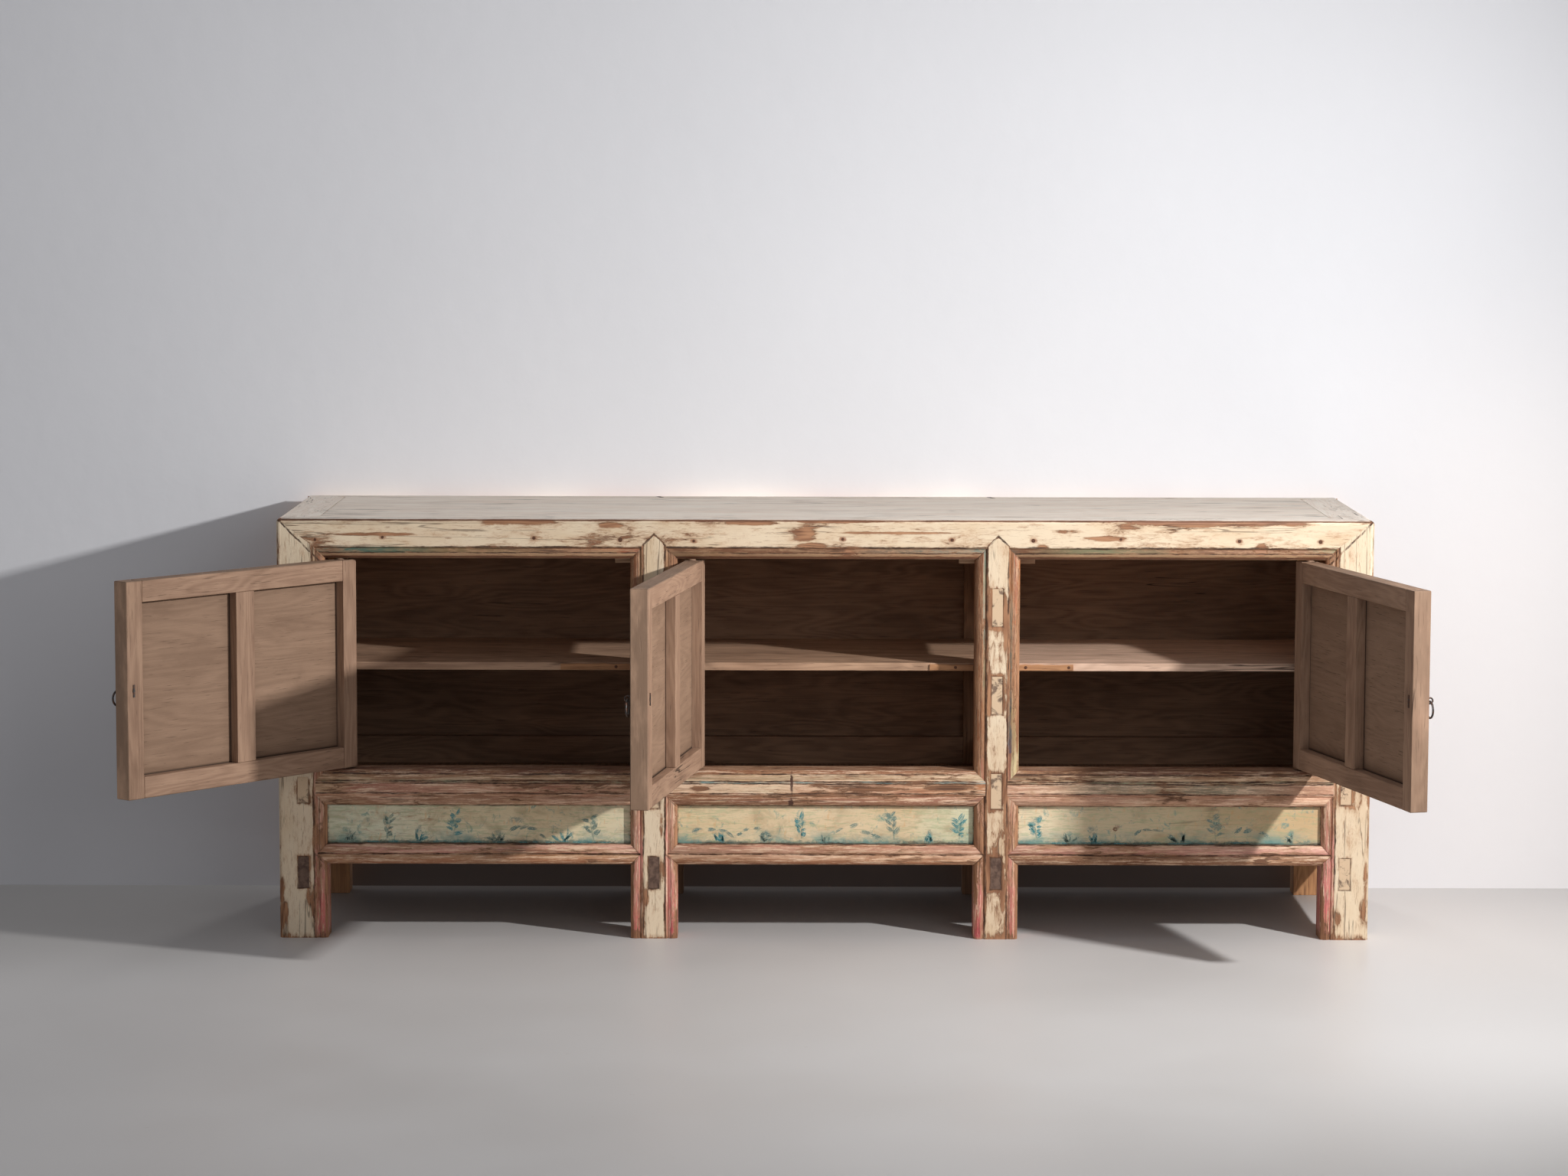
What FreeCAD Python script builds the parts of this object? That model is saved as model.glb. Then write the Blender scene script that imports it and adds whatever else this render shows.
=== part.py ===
"""A three-bay painted sideboard with pivot-hung doors, in millimetres.

The origin is the middle of the sole of the left front post: +X runs along the front to the right,
+Y runs to the back and +Z goes up. The doors stand open, as the piece is shown.
"""
import FreeCAD, Part
import math
import os
import Sketcher

doc = FreeCAD.newDocument("PaintedSideboard")
sheet = doc.addObject("Spreadsheet::Sheet", "Sizes")
kept = []

# The flats that a smith's hammer leaves on the ring pulls: round the ring, round the eye and round the wire
RING_LINKS, EYE_LINKS, WIRE_FLATS = 24, 16, 8

# Driving dimensions, each written once
DIMENSIONS = {
    # The carcass and its posts
    "height": 850,
    "depth": 565,
    "left_bay": 611,
    "centre_bay": 597,
    "right_bay": 611,
    "corner_post_width": 97,
    "left_inner_post_width": 94,
    "right_inner_post_width": 89,
    "post_depth": 64,
    "back_post_width": 88,
    "back_post_depth": 56,
    "corner_round": 10,
    # The beads worked on the edges round every opening
    "bead_width": 22.5,
    "bead_radius": 13.5,
    "bead_fall": 6,
    "quirk_width": 3,
    # The top frame, with its boards let in flush
    "top_rail_height": 80,
    "edge_round": 11,
    "board_thickness": 20,
    "board_ledge": 14,
    "board_gap": 0.6,
    "batten_width": 46,
    "batten_height": 38,
    "batten_tenon": 16,
    # The pointed heads of the inner posts, lapped over the top rail
    "head_lap": 20,
    "head_neck": 2.5,
    "head_tenon_height": 42,
    "head_tenon_width": 40,
    "head_tenon_thickness": 16,
    "head_tenon_setback": 30,
    "back_head_tenon_setback": 24,
    # The front rails and the painted panels below the doors
    "sill_level": 343,
    "middle_rail_height": 72.5,
    "lower_rail_bottom": 151,
    "lower_rail_height": 41,
    "rail_lap": 20,
    "rail_tenon_length": 30,
    "rail_tenon_thickness": 14,
    "rail_tenon_shoulder": 10,
    "panel_recess": 14,
    "panel_thickness": 12,
    "tongue": 8,
    "joint_gap": 0.2,
    # The rails that run from front to back, tenoned right through the front posts; the shares are
    # of the door opening's height, measured up from the sill
    "cross_rail_thickness": 42,
    "cross_tenon_thickness": 22,
    "cross_tenon_shy": 0.8,
    "back_tenon_length": 30,
    "upper_rail_share": 0.6768,
    "upper_rail_height": 82,
    "shelf_level_share": 0.4543,
    "shelf_rail_height": 82,
    "floor_rail_bottom": 263,
    "floor_rail_height": 77,
    "foot_rail_bottom": 99,
    "foot_rail_height": 70,
    "cross_tenon_shoulder": 2.5,
    "side_tenon_shoulder": 12,
    "side_rail_setback": 6,
    "side_rail_thickness": 54,
    "side_tenon_setback": 38,
    "side_panel_setback": 20,
    # The back
    "back_rail_setback": 8,
    "back_rail_tenon_length": 24,
    "back_panel_setback": 22,
    # The shelves and the floor of the cupboards
    "shelf_thickness": 16,
    "shelf_front_setback": 70,
    "shelf_back_setback": 75,
    "shelf_joint": 1,
    "bearer_setback": 44,
    "bearer_thickness": 40,
    "floor_thickness": 16,
    "floor_rise": 4,
    # The doors
    "door_thickness": 35,
    "door_setback": 5.5,
    "door_top_gap": 4,
    "door_bottom_gap": 4,
    "heel_gap": 2.5,
    "free_gap": 3,
    "heel_inset": 26.5,
    "pivot_to_face": 12.5,
    "heel_outer_round": 11,
    "heel_inner_round": 8,
    "heel_top_round": 12,
    "stile_width": 40,
    "door_rail_height": 42,
    "muntin_width": 47,
    "door_panel_inset": 6,
    "door_panel_thickness": 9,
    "door_groove": 7,
    "door_tenon_length": 26,
    "door_tenon_inset": 17,
    "door_tenon_thickness": 11,
    "door_tenon_shoulder": 4,
    "muntin_tenon_width": 30,
    "muntin_tenon_length": 22,
    "pin_radius": 10,
    "pin_fit": 0.08,
    "top_pin_entry": 20,
    "bottom_pin_entry": 16,
    "pin_end_gap": 0.3,
    "left_door_opening": 130.25,
    "centre_door_opening": 99.4,
    "right_door_opening": 104.35,
    # The door stops under the top rail
    "stop_length": 32,
    "stop_height": 12,
    "stop_thickness": 14,
    "stop_gap": 0.4,
    # The iron ring pulls and their staples
    "ring_radius": 15.5,
    "ring_wire": 2,
    "eye_radius": 5.4,
    "eye_wire": 1.6,
    "eye_standoff": 7.5,
    "shank_radius": 2.4,
    "shank_gap": 0.2,
    "staple_leg_width": 4,
    "staple_leg_thickness": 1.6,
    "staple_leg_length": 12,
    "ring_edge_distance": 16,
    "cut_over": 5,
}

# Places that follow from the dimensions
FOLLOWING = {
    "left_face": "=-corner_post_width / 2",
    "front_face": "=-post_depth / 2",
    "back_face": "=front_face + depth",
    "left_bay_start": "=left_face + corner_post_width",
    "left_bay_end": "=left_bay_start + left_bay",
    "centre_bay_start": "=left_bay_end + left_inner_post_width",
    "centre_bay_end": "=centre_bay_start + centre_bay",
    "right_bay_start": "=centre_bay_end + right_inner_post_width",
    "right_bay_end": "=right_bay_start + right_bay",
    "right_face": "=right_bay_end + corner_post_width",
    "total_width": "=right_face - left_face",
    "opening_top": "=height - top_rail_height",
    "middle_rail_bottom": "=sill_level - middle_rail_height",
    "lower_rail_top": "=lower_rail_bottom + lower_rail_height",
    "lower_bead": "=lower_rail_height / 2",
    "left_post_middle": "=left_inner_post_width / 2",
    "right_post_middle": "=right_inner_post_width / 2",
    "left_frame_line": "=left_bay_end + left_post_middle",
    "right_frame_line": "=centre_bay_end + right_post_middle",
    "half_head_tenon": "=head_tenon_width / 2",
    "half_cross_rail": "=cross_rail_thickness / 2",
    "half_cross_tenon": "=cross_tenon_thickness / 2",
    "half_batten": "=batten_width / 2",
    "half_batten_tenon": "=batten_width / 4",
    "batten_quarter": "=batten_height / 4",
    "inside_front": "=front_face + post_depth",
    "inside_back": "=back_face - back_post_depth",
    "opening_height": "=opening_top - sill_level",
    "shelf_level": "=sill_level + opening_height * shelf_level_share",
    "shelf_rail_bottom": "=shelf_level - shelf_rail_height",
    "upper_rail_bottom": "=sill_level + opening_height * upper_rail_share",
    "floor_rail_top": "=floor_rail_bottom + floor_rail_height",
    "foot_rail_top": "=foot_rail_bottom + foot_rail_height",
    "floor_bottom": "=floor_rail_bottom + floor_rise",
    "floor_top": "=floor_bottom + floor_thickness",
    "boards_bottom": "=height - board_thickness",
    "board_width": "=(inside_back - inside_front + 2 * board_ledge - 4 * board_gap) / 3",
    "board_pitch": "=board_width + board_gap",
    "door_height": "=opening_height - door_top_gap - door_bottom_gap",
    "left_door_width": "=left_bay - heel_gap - free_gap",
    "centre_door_width": "=centre_bay - heel_gap - free_gap",
    "right_door_width": "=right_bay - heel_gap - free_gap",
    "left_door_middle": "=left_door_width / 2 - heel_inset",
    "centre_door_middle": "=centre_door_width / 2 - heel_inset",
    "right_door_middle": "=right_door_width / 2 - heel_inset",
    "left_pivot": "=left_bay_start + heel_gap + heel_inset",
    "centre_pivot": "=centre_bay_start + heel_gap + heel_inset",
    "right_pivot": "=right_bay_end - heel_gap - heel_inset",
    "pivot_line": "=front_face + door_setback + pivot_to_face",
    "door_bottom": "=sill_level + door_bottom_gap",
    "ring_level": "=door_height / 2",
    "half_muntin": "=muntin_width / 2",
    "half_muntin_tenon": "=muntin_tenon_width / 2",
    "pin_length": "=door_height + door_top_gap + top_pin_entry + door_bottom_gap + bottom_pin_entry",
    "socket_radius": "=pin_radius + pin_fit",
    "left_turn": "=-left_door_opening",
    "centre_turn": "=-centre_door_opening",
    "right_turn": "=180 + right_door_opening",
    "eye_hang": "=eye_radius - eye_wire - ring_wire - pin_end_gap",
    "shank_length": "=door_thickness + staple_leg_thickness + eye_standoff - eye_radius",
    "shank_hole": "=shank_radius + shank_gap",
    "half_leg": "=staple_leg_width / 2",
}

for line, (name, value) in enumerate([*DIMENSIONS.items(), *FOLLOWING.items()], 1):
    sheet.set(f"A{line}", name)
    sheet.set(f"B{line}", str(value))
    sheet.setAlias(f"B{line}", name)
doc.recompute()


def length(words):
    """Adds up a sum of sheet names, such as "height - top_rail_height"."""
    total, sign = 0, 1
    for word in words.split():
        if word in "+-":
            sign = 1 if word == "+" else -1
        elif word != "0":
            total += sign * float(sheet.get(word))
    return total


def bound(words):
    """The same sum as an expression that ties an object to the sheet."""
    return " ".join(word if word in "+-0" else f"Sizes.{word}" for word in words.split())


def minus(words):
    """The same sum taken away, with every sign turned round."""
    turned = {"+": "-", "-": "+"}
    return "- " + " ".join(turned.get(word, word) for word in words.split())


def place(piece, spot, turn=None):
    """Ties a piece's place to the sheet, and its turn about the vertical where it has one."""
    for axis, words in zip("xyz", spot):
        piece.setExpression(f"Placement.Base.{axis}", bound(words))
    if turn:
        piece.Placement.Rotation = FreeCAD.Rotation(FreeCAD.Vector(0, 0, 1), length(turn))
        piece.setExpression("Placement.Rotation.Angle", bound(turn))


def keep(label, piece, spot=("0", "0", "0"), turn=None):
    """Names a finished piece, stands it in its place and lists it for writing."""
    piece.Label = label
    place(piece, spot, turn)
    kept.append(piece)


def new_body(name):
    """A body for a piece that is drawn, raised and cut."""
    return doc.addObject("PartDesign::Body", name)


def new_sketch(body, plane, offset):
    """An empty sketch on one of a body's own planes, moved along that plane's normal."""
    sketch = body.newObject("Sketcher::SketchObject", f"{body.Name}_sketch")
    face = next(f for f in body.Origin.OriginFeatures if f.Role == f"{plane}_Plane")
    sketch.AttachmentSupport = [(face, "")]
    sketch.MapMode = "FlatFace"
    sketch.setExpression("AttachmentOffset.Base.z", bound(offset))
    return sketch


def fix(sketch, rules):
    """Adds a sketch's constraints in one step and ties each measured one to the sheet."""
    sketch.addConstraint([Sketcher.Constraint(*rule, length(words)) if words else Sketcher.Constraint(*rule)
                          for rule, words in rules])
    for number, (_, words) in enumerate(rules):
        if words:
            sketch.setExpression(f"Constraints[{number}]", bound(words))


def outline(body, plane, points, offset="0"):
    """Draws a closed outline. A point's third entry is the radius of an arc to the next point,
    which bulges out of the outline, or into it where the entry starts with a tilde."""
    sketch = new_sketch(body, plane, offset)
    spots = [FreeCAD.Vector(length(x), length(y), 0) for x, y, *_ in points]
    pairs = list(zip(spots, spots[1:] + spots[:1]))
    turns_left = sum(a.x * b.y - b.x * a.y for a, b in pairs) > 0
    ends, rules = [], []
    for number, ((start, end), (_, _, *bend)) in enumerate(zip(pairs, points)):
        if not bend:
            sketch.addGeometry(Part.LineSegment(start, end))
            ends.append((1, 2))
            continue
        radius = bend[0].strip("~")
        chord = end - start
        side = 1 if turns_left != bend[0].startswith("~") else -1
        rise = length(radius) - (length(radius) ** 2 - (chord.Length / 2) ** 2) ** 0.5
        crown = (start + end) / 2 + FreeCAD.Vector(chord.y, -chord.x, 0).normalize() * side * rise
        sketch.addGeometry(Part.Arc(start, crown, end))
        ends.append((1, 2) if side > 0 else (2, 1))
        rules.append((("Radius", number), radius))
    for number, (x, y, *_) in enumerate(points):
        after = (number + 1) % len(points)
        rules.append((("DistanceX", -1, 1, number, ends[number][0]), x))
        rules.append((("DistanceY", -1, 1, number, ends[number][0]), y))
        rules.append((("Coincident", number, ends[number][1], after, ends[after][0]), None))
    fix(sketch, rules)
    return sketch


def disc(body, plane, x, y, radius, offset="0"):
    """Draws a circle."""
    sketch = new_sketch(body, plane, offset)
    middle = FreeCAD.Vector(length(x), length(y), 0)
    sketch.addGeometry(Part.Circle(middle, FreeCAD.Vector(0, 0, 1), length(radius)))
    fix(sketch, [(("Radius", 0), radius), (("DistanceX", -1, 1, 0, 3), x), (("DistanceY", -1, 1, 0, 3), y)])
    return sketch


def pad(body, sketch, amount, reverse=False):
    """Raises a solid from a sketch."""
    feature = body.newObject("PartDesign::Pad", f"{body.Name}_pad")
    feature.Profile = sketch
    feature.Reversed = reverse
    feature.setExpression("Length", bound(amount))


def pocket(body, sketch, amount=None, reverse=False):
    """Cuts a sketch into the solid, or right through it both ways where no amount is given."""
    feature = body.newObject("PartDesign::Pocket", f"{body.Name}_pocket")
    feature.Profile = sketch
    feature.Reversed = reverse
    if amount:
        feature.setExpression("Length", bound(amount))
    else:
        feature.Type = "ThroughAll"
        feature.Midplane = True


def oblong(x0, x1, y0, y1):
    """The four corners of a rectangle."""
    return [(x0, y0), (x1, y0), (x1, y1), (x0, y1)]


def chop(body, x0, x1, y0, y1, z0, z1):
    """Cuts a square-sided mortise, groove or rebate."""
    pocket(body, outline(body, "XY", oblong(x0, x1, y0, y1), z0), f"{z1} {minus(z0)}", reverse=True)


def add_block(body, x0, x1, y0, y1, z0, z1):
    """Adds a square-sided length of timber or a tenon."""
    pad(body, outline(body, "XY", oblong(x0, x1, y0, y1), z0), f"{z1} {minus(z0)}")


def bore(body, x, y, radius, z0, z1):
    """Bores an upright round hole."""
    pocket(body, disc(body, "XY", x, y, radius, z0), f"{z1} {minus(z0)}", reverse=True)


def block(name, x0, x1, y0, y1, z0, z1):
    """A square-sided piece between six planes."""
    box = doc.addObject("Part::Box", name)
    for side, low, high in (("Length", x0, x1), ("Width", y0, y1), ("Height", z0, z1)):
        box.setExpression(side, bound(f"{high} {minus(low)}"))
    place(box, (x0, y0, z0))
    return box


def wire_loop(name, radius, wire, links, spot, axis):
    """A closed loop of wire about the stated axis, hammered into short straight flats."""
    reach = math.cos(math.pi / links)
    joints = []
    for link in range(links):
        turn = FreeCAD.Rotation(FreeCAD.Vector(0, 0, 1), (link + 0.5) * 360 / links)
        joints.append([turn.multVec(FreeCAD.Vector((length(radius) + length(wire) * math.cos(side)) / reach, 0,
                                                   length(wire) * math.sin(side)))
                       for side in (math.pi * (2 * flat + 1) / WIRE_FLATS for flat in range(WIRE_FLATS))])
    flats = [Part.Face(Part.makePolygon([here[flat - 1], here[flat], beyond[flat], beyond[flat - 1], here[flat - 1]]))
             for here, beyond in zip(joints, joints[1:] + joints[:1]) for flat in range(WIRE_FLATS)]
    loop = doc.addObject("Part::Feature", name)
    solid = Part.Solid(Part.Shell(flats))
    if solid.Volume < 0:
        solid.reverse()
    loop.Shape = solid
    loop.Placement.Rotation = FreeCAD.Rotation(FreeCAD.Vector(0, 0, 1), axis)
    place(loop, spot)
    return loop


def join(name, pieces):
    """Fuses shapes into one solid."""
    fused = doc.addObject("Part::MultiFuse", name)
    fused.Shapes = pieces
    fused.Refine = True
    return fused


def group(name, pieces):
    """Holds like pieces together as separate solids."""
    held = doc.addObject("Part::Compound", name)
    held.Links = pieces
    return held


# Front posts: each one length of timber from the floor to the top, beaded where it faces a bay
def bead_side(width, side):
    """A post's edge on one side, with the line inside its bead, its tongue depth and a place beyond it."""
    if side == "left":
        return "0", "bead_width", "tongue + joint_gap", "0 - cut_over"
    return width, f"{width} - bead_width", f"{width} - tongue - joint_gap", f"{width} + cut_over"


def post_section(width, beads):
    """A front post seen from above, its face at the bottom of the outline."""
    if "left" in beads:
        left = [("0", "bead_fall", "bead_radius"), ("bead_width - quirk_width", "quirk_width"), ("bead_width", "0")]
    else:
        left = [("0", "corner_round", "corner_round"), ("corner_round", "0")]
    if "right" in beads:
        right = [(f"{width} - bead_width", "0"),
                 (f"{width} - bead_width + quirk_width", "quirk_width", "bead_radius"), (width, "bead_fall")]
    else:
        right = [(f"{width} - corner_round", "0", "corner_round"), (width, "corner_round")]
    return [*left, *right, (width, "post_depth"), ("0", "post_depth")]


def house_rails(post, width, side):
    """Cuts the mitred laps, mortises and panel groove that take the front rails of one bay."""
    edge, flat, tongue_end, beyond = bead_side(width, side)
    low, high = "middle_rail_bottom", "sill_level"
    lap = [(beyond, low), (edge, low), (flat, f"{low} + bead_width"), (flat, f"{high} - bead_width"),
           (edge, high), (beyond, high)]
    pocket(post, outline(post, "XZ", lap), "rail_lap")
    low, high = "lower_rail_bottom", "lower_rail_top"
    tip = flat.replace("bead_width", "lower_bead")
    lap = [(beyond, low), (edge, low), (tip, f"{low} + lower_bead"), (edge, high), (beyond, high)]
    pocket(post, outline(post, "XZ", lap), "rail_lap")
    mortise_end = "rail_tenon_length + joint_gap" if side == "left" else f"{width} - rail_tenon_length - joint_gap"
    for low, high in (("middle_rail_bottom", "sill_level"), ("lower_rail_bottom", "lower_rail_top")):
        chop(post, beyond, mortise_end, "rail_lap", "rail_lap + rail_tenon_thickness",
             f"{low} + rail_tenon_shoulder", f"{high} - rail_tenon_shoulder")
    chop(post, beyond, tongue_end, "panel_recess", "panel_recess + panel_thickness",
         "lower_rail_top - tongue", "middle_rail_bottom + tongue")


def inner_rails():
    """The levels of the rails that run back from an inner post."""
    for rail in ("upper_rail", "shelf_rail", "floor_rail", "foot_rail"):
        yield rail, f"{rail}_bottom + cross_tenon_shoulder", f"{rail}_bottom + {rail}_height - cross_tenon_shoulder"


def side_rails():
    """The levels of the rails that run back from a corner post."""
    for rail, shoulder in (("shelf_rail", "cross_tenon_shoulder"), ("floor_rail", "side_tenon_shoulder"),
                           ("foot_rail", "cross_tenon_shoulder")):
        yield rail, f"{rail}_bottom + {shoulder}", f"{rail}_bottom + {rail}_height - {shoulder}"


def inner_front_post(label, start, width, middle):
    """An inner front post, with its pointed head lapped over the face of the top rail."""
    post = new_body(label)
    pad(post, outline(post, "XY", post_section(width, ("left", "right"))), "height")
    shoulder = "opening_top + bead_width + head_neck"
    head = [("0 - cut_over", "opening_top"), ("0", "opening_top"), ("bead_width", "opening_top + bead_width"),
            ("bead_width", shoulder), (middle, f"{shoulder} + {middle} - bead_width"),
            (f"{width} - bead_width", shoulder), (f"{width} - bead_width", "opening_top + bead_width"),
            (width, "opening_top"), (f"{width} + cut_over", "opening_top"),
            (f"{width} + cut_over", "height + cut_over"), ("0 - cut_over", "height + cut_over")]
    pocket(post, outline(post, "XZ", head))
    chop(post, "0 - cut_over", f"{width} + cut_over", "head_lap", "post_depth + cut_over",
         "opening_top", "height + cut_over")
    add_block(post, f"{middle} - half_head_tenon", f"{middle} + half_head_tenon", "head_tenon_setback",
              "head_tenon_setback + head_tenon_thickness", "opening_top", "opening_top + head_tenon_height")
    for side in ("left", "right"):
        house_rails(post, width, side)
    for _, low, high in inner_rails():
        chop(post, f"{middle} - half_cross_tenon", f"{middle} + half_cross_tenon",
             "0 - cut_over", "post_depth + cut_over", low, high)
    keep(label, post, (start, "front_face", "0"))


def side_slot(width, mirrored, near, far):
    """Two distances in from a corner post's outer side, in order from left to right."""
    return (f"{width} {minus(far)}", f"{width} {minus(near)}") if mirrored else (near, far)


def corner_head(post, outer, flat, inner, beyond, front, back, over):
    """Cuts the two slopes of a corner post's part of the three-way mitre."""
    slope = [(outer, "height"), (inner, "opening_top"), (beyond, "opening_top"),
             (beyond, "height + cut_over"), (outer, "height + cut_over")]
    if flat:
        slope.insert(1, (flat, "opening_top + bead_width"))
    pocket(post, outline(post, "XZ", slope))
    slope = [(front, "height"), (back, "opening_top"), (over, "opening_top"),
             (over, "height + cut_over"), (front, "height + cut_over")]
    pocket(post, outline(post, "YZ", slope))


def corner_front_post(label, start, mirrored):
    """A corner post at the front, with the three-way mitre that locks it to the top frame."""
    post, width = new_body(label), "corner_post_width"
    side = "left" if mirrored else "right"
    pad(post, outline(post, "XY", post_section(width, (side,))), "height")
    edge, flat, _, beyond = bead_side(width, side)
    corner_head(post, width if mirrored else "0", flat, edge, beyond, "0", "post_depth", "post_depth + cut_over")
    house_rails(post, width, side)
    for _, low, high in side_rails():
        near, far = side_slot(width, mirrored, "side_tenon_setback", "side_tenon_setback + cross_tenon_thickness")
        chop(post, near, far, "0 - cut_over", "post_depth + cut_over", low, high)
    near, far = side_slot(width, mirrored, "side_panel_setback", "side_panel_setback + panel_thickness")
    chop(post, near, far, "post_depth - tongue - joint_gap", "post_depth + cut_over",
         "foot_rail_top - tongue", "opening_top + tongue + joint_gap")
    keep(label, post, (start, "front_face", "0"))


# Back posts: plain, with the same rails let into their inner faces
def groove_back_panels(post, width, side):
    """Cuts the groove and mortises that take the back of one bay."""
    edge, _, tongue_end, beyond = bead_side(width, side)
    panel_back = "back_post_depth - back_panel_setback"
    chop(post, beyond, tongue_end, f"{panel_back} - panel_thickness", panel_back,
         "foot_rail_top - tongue", "opening_top + tongue + joint_gap")
    mortise_end = f"{edge} + back_rail_tenon_length + joint_gap" if side == "left" else (
        f"{edge} - back_rail_tenon_length - joint_gap")
    for rail in ("floor_rail", "foot_rail"):
        chop(post, beyond, mortise_end, f"{panel_back} - rail_tenon_thickness", panel_back,
             f"{rail}_bottom + rail_tenon_shoulder", f"{rail}_bottom + {rail}_height - rail_tenon_shoulder")


def inner_back_post(label, start, width, middle):
    """An inner back post, tenoned up into the top rail."""
    post = new_body(label)
    add_block(post, "0", width, "0", "back_post_depth", "0", "opening_top")
    add_block(post, f"{middle} - half_head_tenon", f"{middle} + half_head_tenon", "back_head_tenon_setback",
              "back_head_tenon_setback + head_tenon_thickness", "opening_top", "opening_top + head_tenon_height")
    for side in ("left", "right"):
        groove_back_panels(post, width, side)
    for _, low, high in inner_rails():
        chop(post, f"{middle} - half_cross_tenon", f"{middle} + half_cross_tenon",
             "0 - cut_over", "back_tenon_length + joint_gap", low, high)
    keep(label, post, (start, "inside_back", "0"))


def corner_back_post(label, start, mirrored):
    """A corner post at the back, mitred three ways like the front ones."""
    post, width = new_body(label), "back_post_width"
    side = "left" if mirrored else "right"
    add_block(post, "0", width, "0", "back_post_depth", "0", "height")
    edge, _, _, beyond = bead_side(width, side)
    corner_head(post, width if mirrored else "0", None, edge, beyond, "back_post_depth", "0", "0 - cut_over")
    groove_back_panels(post, width, side)
    for _, low, high in side_rails():
        near, far = side_slot(width, mirrored, "side_tenon_setback", "side_tenon_setback + cross_tenon_thickness")
        chop(post, near, far, "0 - cut_over", "back_tenon_length + joint_gap", low, high)
    near, far = side_slot(width, mirrored, "side_panel_setback", "side_panel_setback + panel_thickness")
    chop(post, near, far, "0 - cut_over", "tongue + joint_gap",
         "foot_rail_top - tongue", "opening_top + tongue + joint_gap")
    keep(label, post, (start, "inside_back", "0"))


corner_front_post("post_front_left", "left_face", mirrored=False)
inner_front_post("post_front_inner_left", "left_bay_end", "left_inner_post_width", "left_post_middle")
inner_front_post("post_front_inner_right", "centre_bay_end", "right_inner_post_width", "right_post_middle")
corner_front_post("post_front_right", "right_bay_end", mirrored=True)
corner_back_post("post_back_left", "left_face", mirrored=False)
inner_back_post("post_back_inner_left", "left_bay_end", "left_inner_post_width", "left_post_middle")
inner_back_post("post_back_inner_right", "centre_bay_end", "right_inner_post_width", "right_post_middle")
corner_back_post("post_back_right", "right_face - back_post_width", mirrored=True)


# Top frame: four rails mitred at the corners and rebated to hold the boards flush
def mitre_ends(rail, flat, inner_x, depth_y):
    """Cuts both ends of a long top rail to the corner posts and the side rails."""
    front, behind = depth_y
    for outer, side_flat, inner, beyond in (
        ("0", flat, inner_x, "0 - cut_over"),
        ("total_width", f"total_width {minus(flat)}", f"total_width {minus(inner_x)}", "total_width + cut_over"),
    ):
        slope = [(outer, "top_rail_height"), (inner, "0"), (inner, "0 - cut_over"), (beyond, "0 - cut_over"),
                 (beyond, "top_rail_height")]
        if flat != inner_x:
            slope.insert(1, (side_flat, "bead_width"))
        pocket(rail, outline(rail, "XZ", slope))
        over = f"{behind} + cut_over" if front == "0" else f"{behind} - cut_over"
        pocket(rail, outline(rail, "XY", [(outer, front), (inner, behind), (inner, over), (beyond, over),
                                          (beyond, front)]))


def top_front_rail():
    """The long front rail, beaded below, notched for the inner posts and bored for the door pivots."""
    rail = new_body("top_rail_front")
    section = [("bead_fall", "0", "bead_radius"), ("quirk_width", "bead_width - quirk_width"), ("0", "bead_width"),
               ("0", "top_rail_height - edge_round", "edge_round"), ("edge_round", "top_rail_height"),
               ("post_depth - board_ledge", "top_rail_height"),
               ("post_depth - board_ledge", "top_rail_height - board_thickness"),
               ("post_depth", "top_rail_height - board_thickness"), ("post_depth", "0")]
    pad(rail, outline(rail, "YZ", section), "total_width")
    mitre_ends(rail, "corner_post_width - bead_width", "corner_post_width", ("0", "post_depth"))
    for edge, width, middle in (("left_bay_end - left_face", "left_inner_post_width", "left_post_middle"),
                                ("centre_bay_end - left_face", "right_inner_post_width", "right_post_middle")):
        line = f"{edge} + {middle}"
        neck = "bead_width + head_neck"
        head = [(edge, "0 - cut_over"), (edge, "0"), (f"{edge} + bead_width", "bead_width"),
                (f"{edge} + bead_width", neck), (line, f"{neck} + {middle} - bead_width"),
                (f"{edge} + {width} - bead_width", neck), (f"{edge} + {width} - bead_width", "bead_width"),
                (f"{edge} + {width}", "0"), (f"{edge} + {width}", "0 - cut_over")]
        pocket(rail, outline(rail, "XZ", head), "head_lap")
        chop(rail, f"{line} - half_head_tenon", f"{line} + half_head_tenon", "head_tenon_setback",
             "head_tenon_setback + head_tenon_thickness", "0", "head_tenon_height + joint_gap")
        chop(rail, f"{line} - half_batten_tenon", f"{line} + half_batten_tenon",
             "post_depth - batten_tenon - joint_gap", "post_depth + cut_over",
             "top_rail_height - board_thickness - batten_height + batten_quarter",
             "top_rail_height - board_thickness - batten_quarter")
    for pivot in ("left_pivot", "centre_pivot", "right_pivot"):
        bore(rail, f"{pivot} - left_face", "door_setback + pivot_to_face", "socket_radius", "0",
             "top_pin_entry + pin_end_gap")
    keep("top_rail_front", rail, ("left_face", "front_face", "opening_top"))


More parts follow.
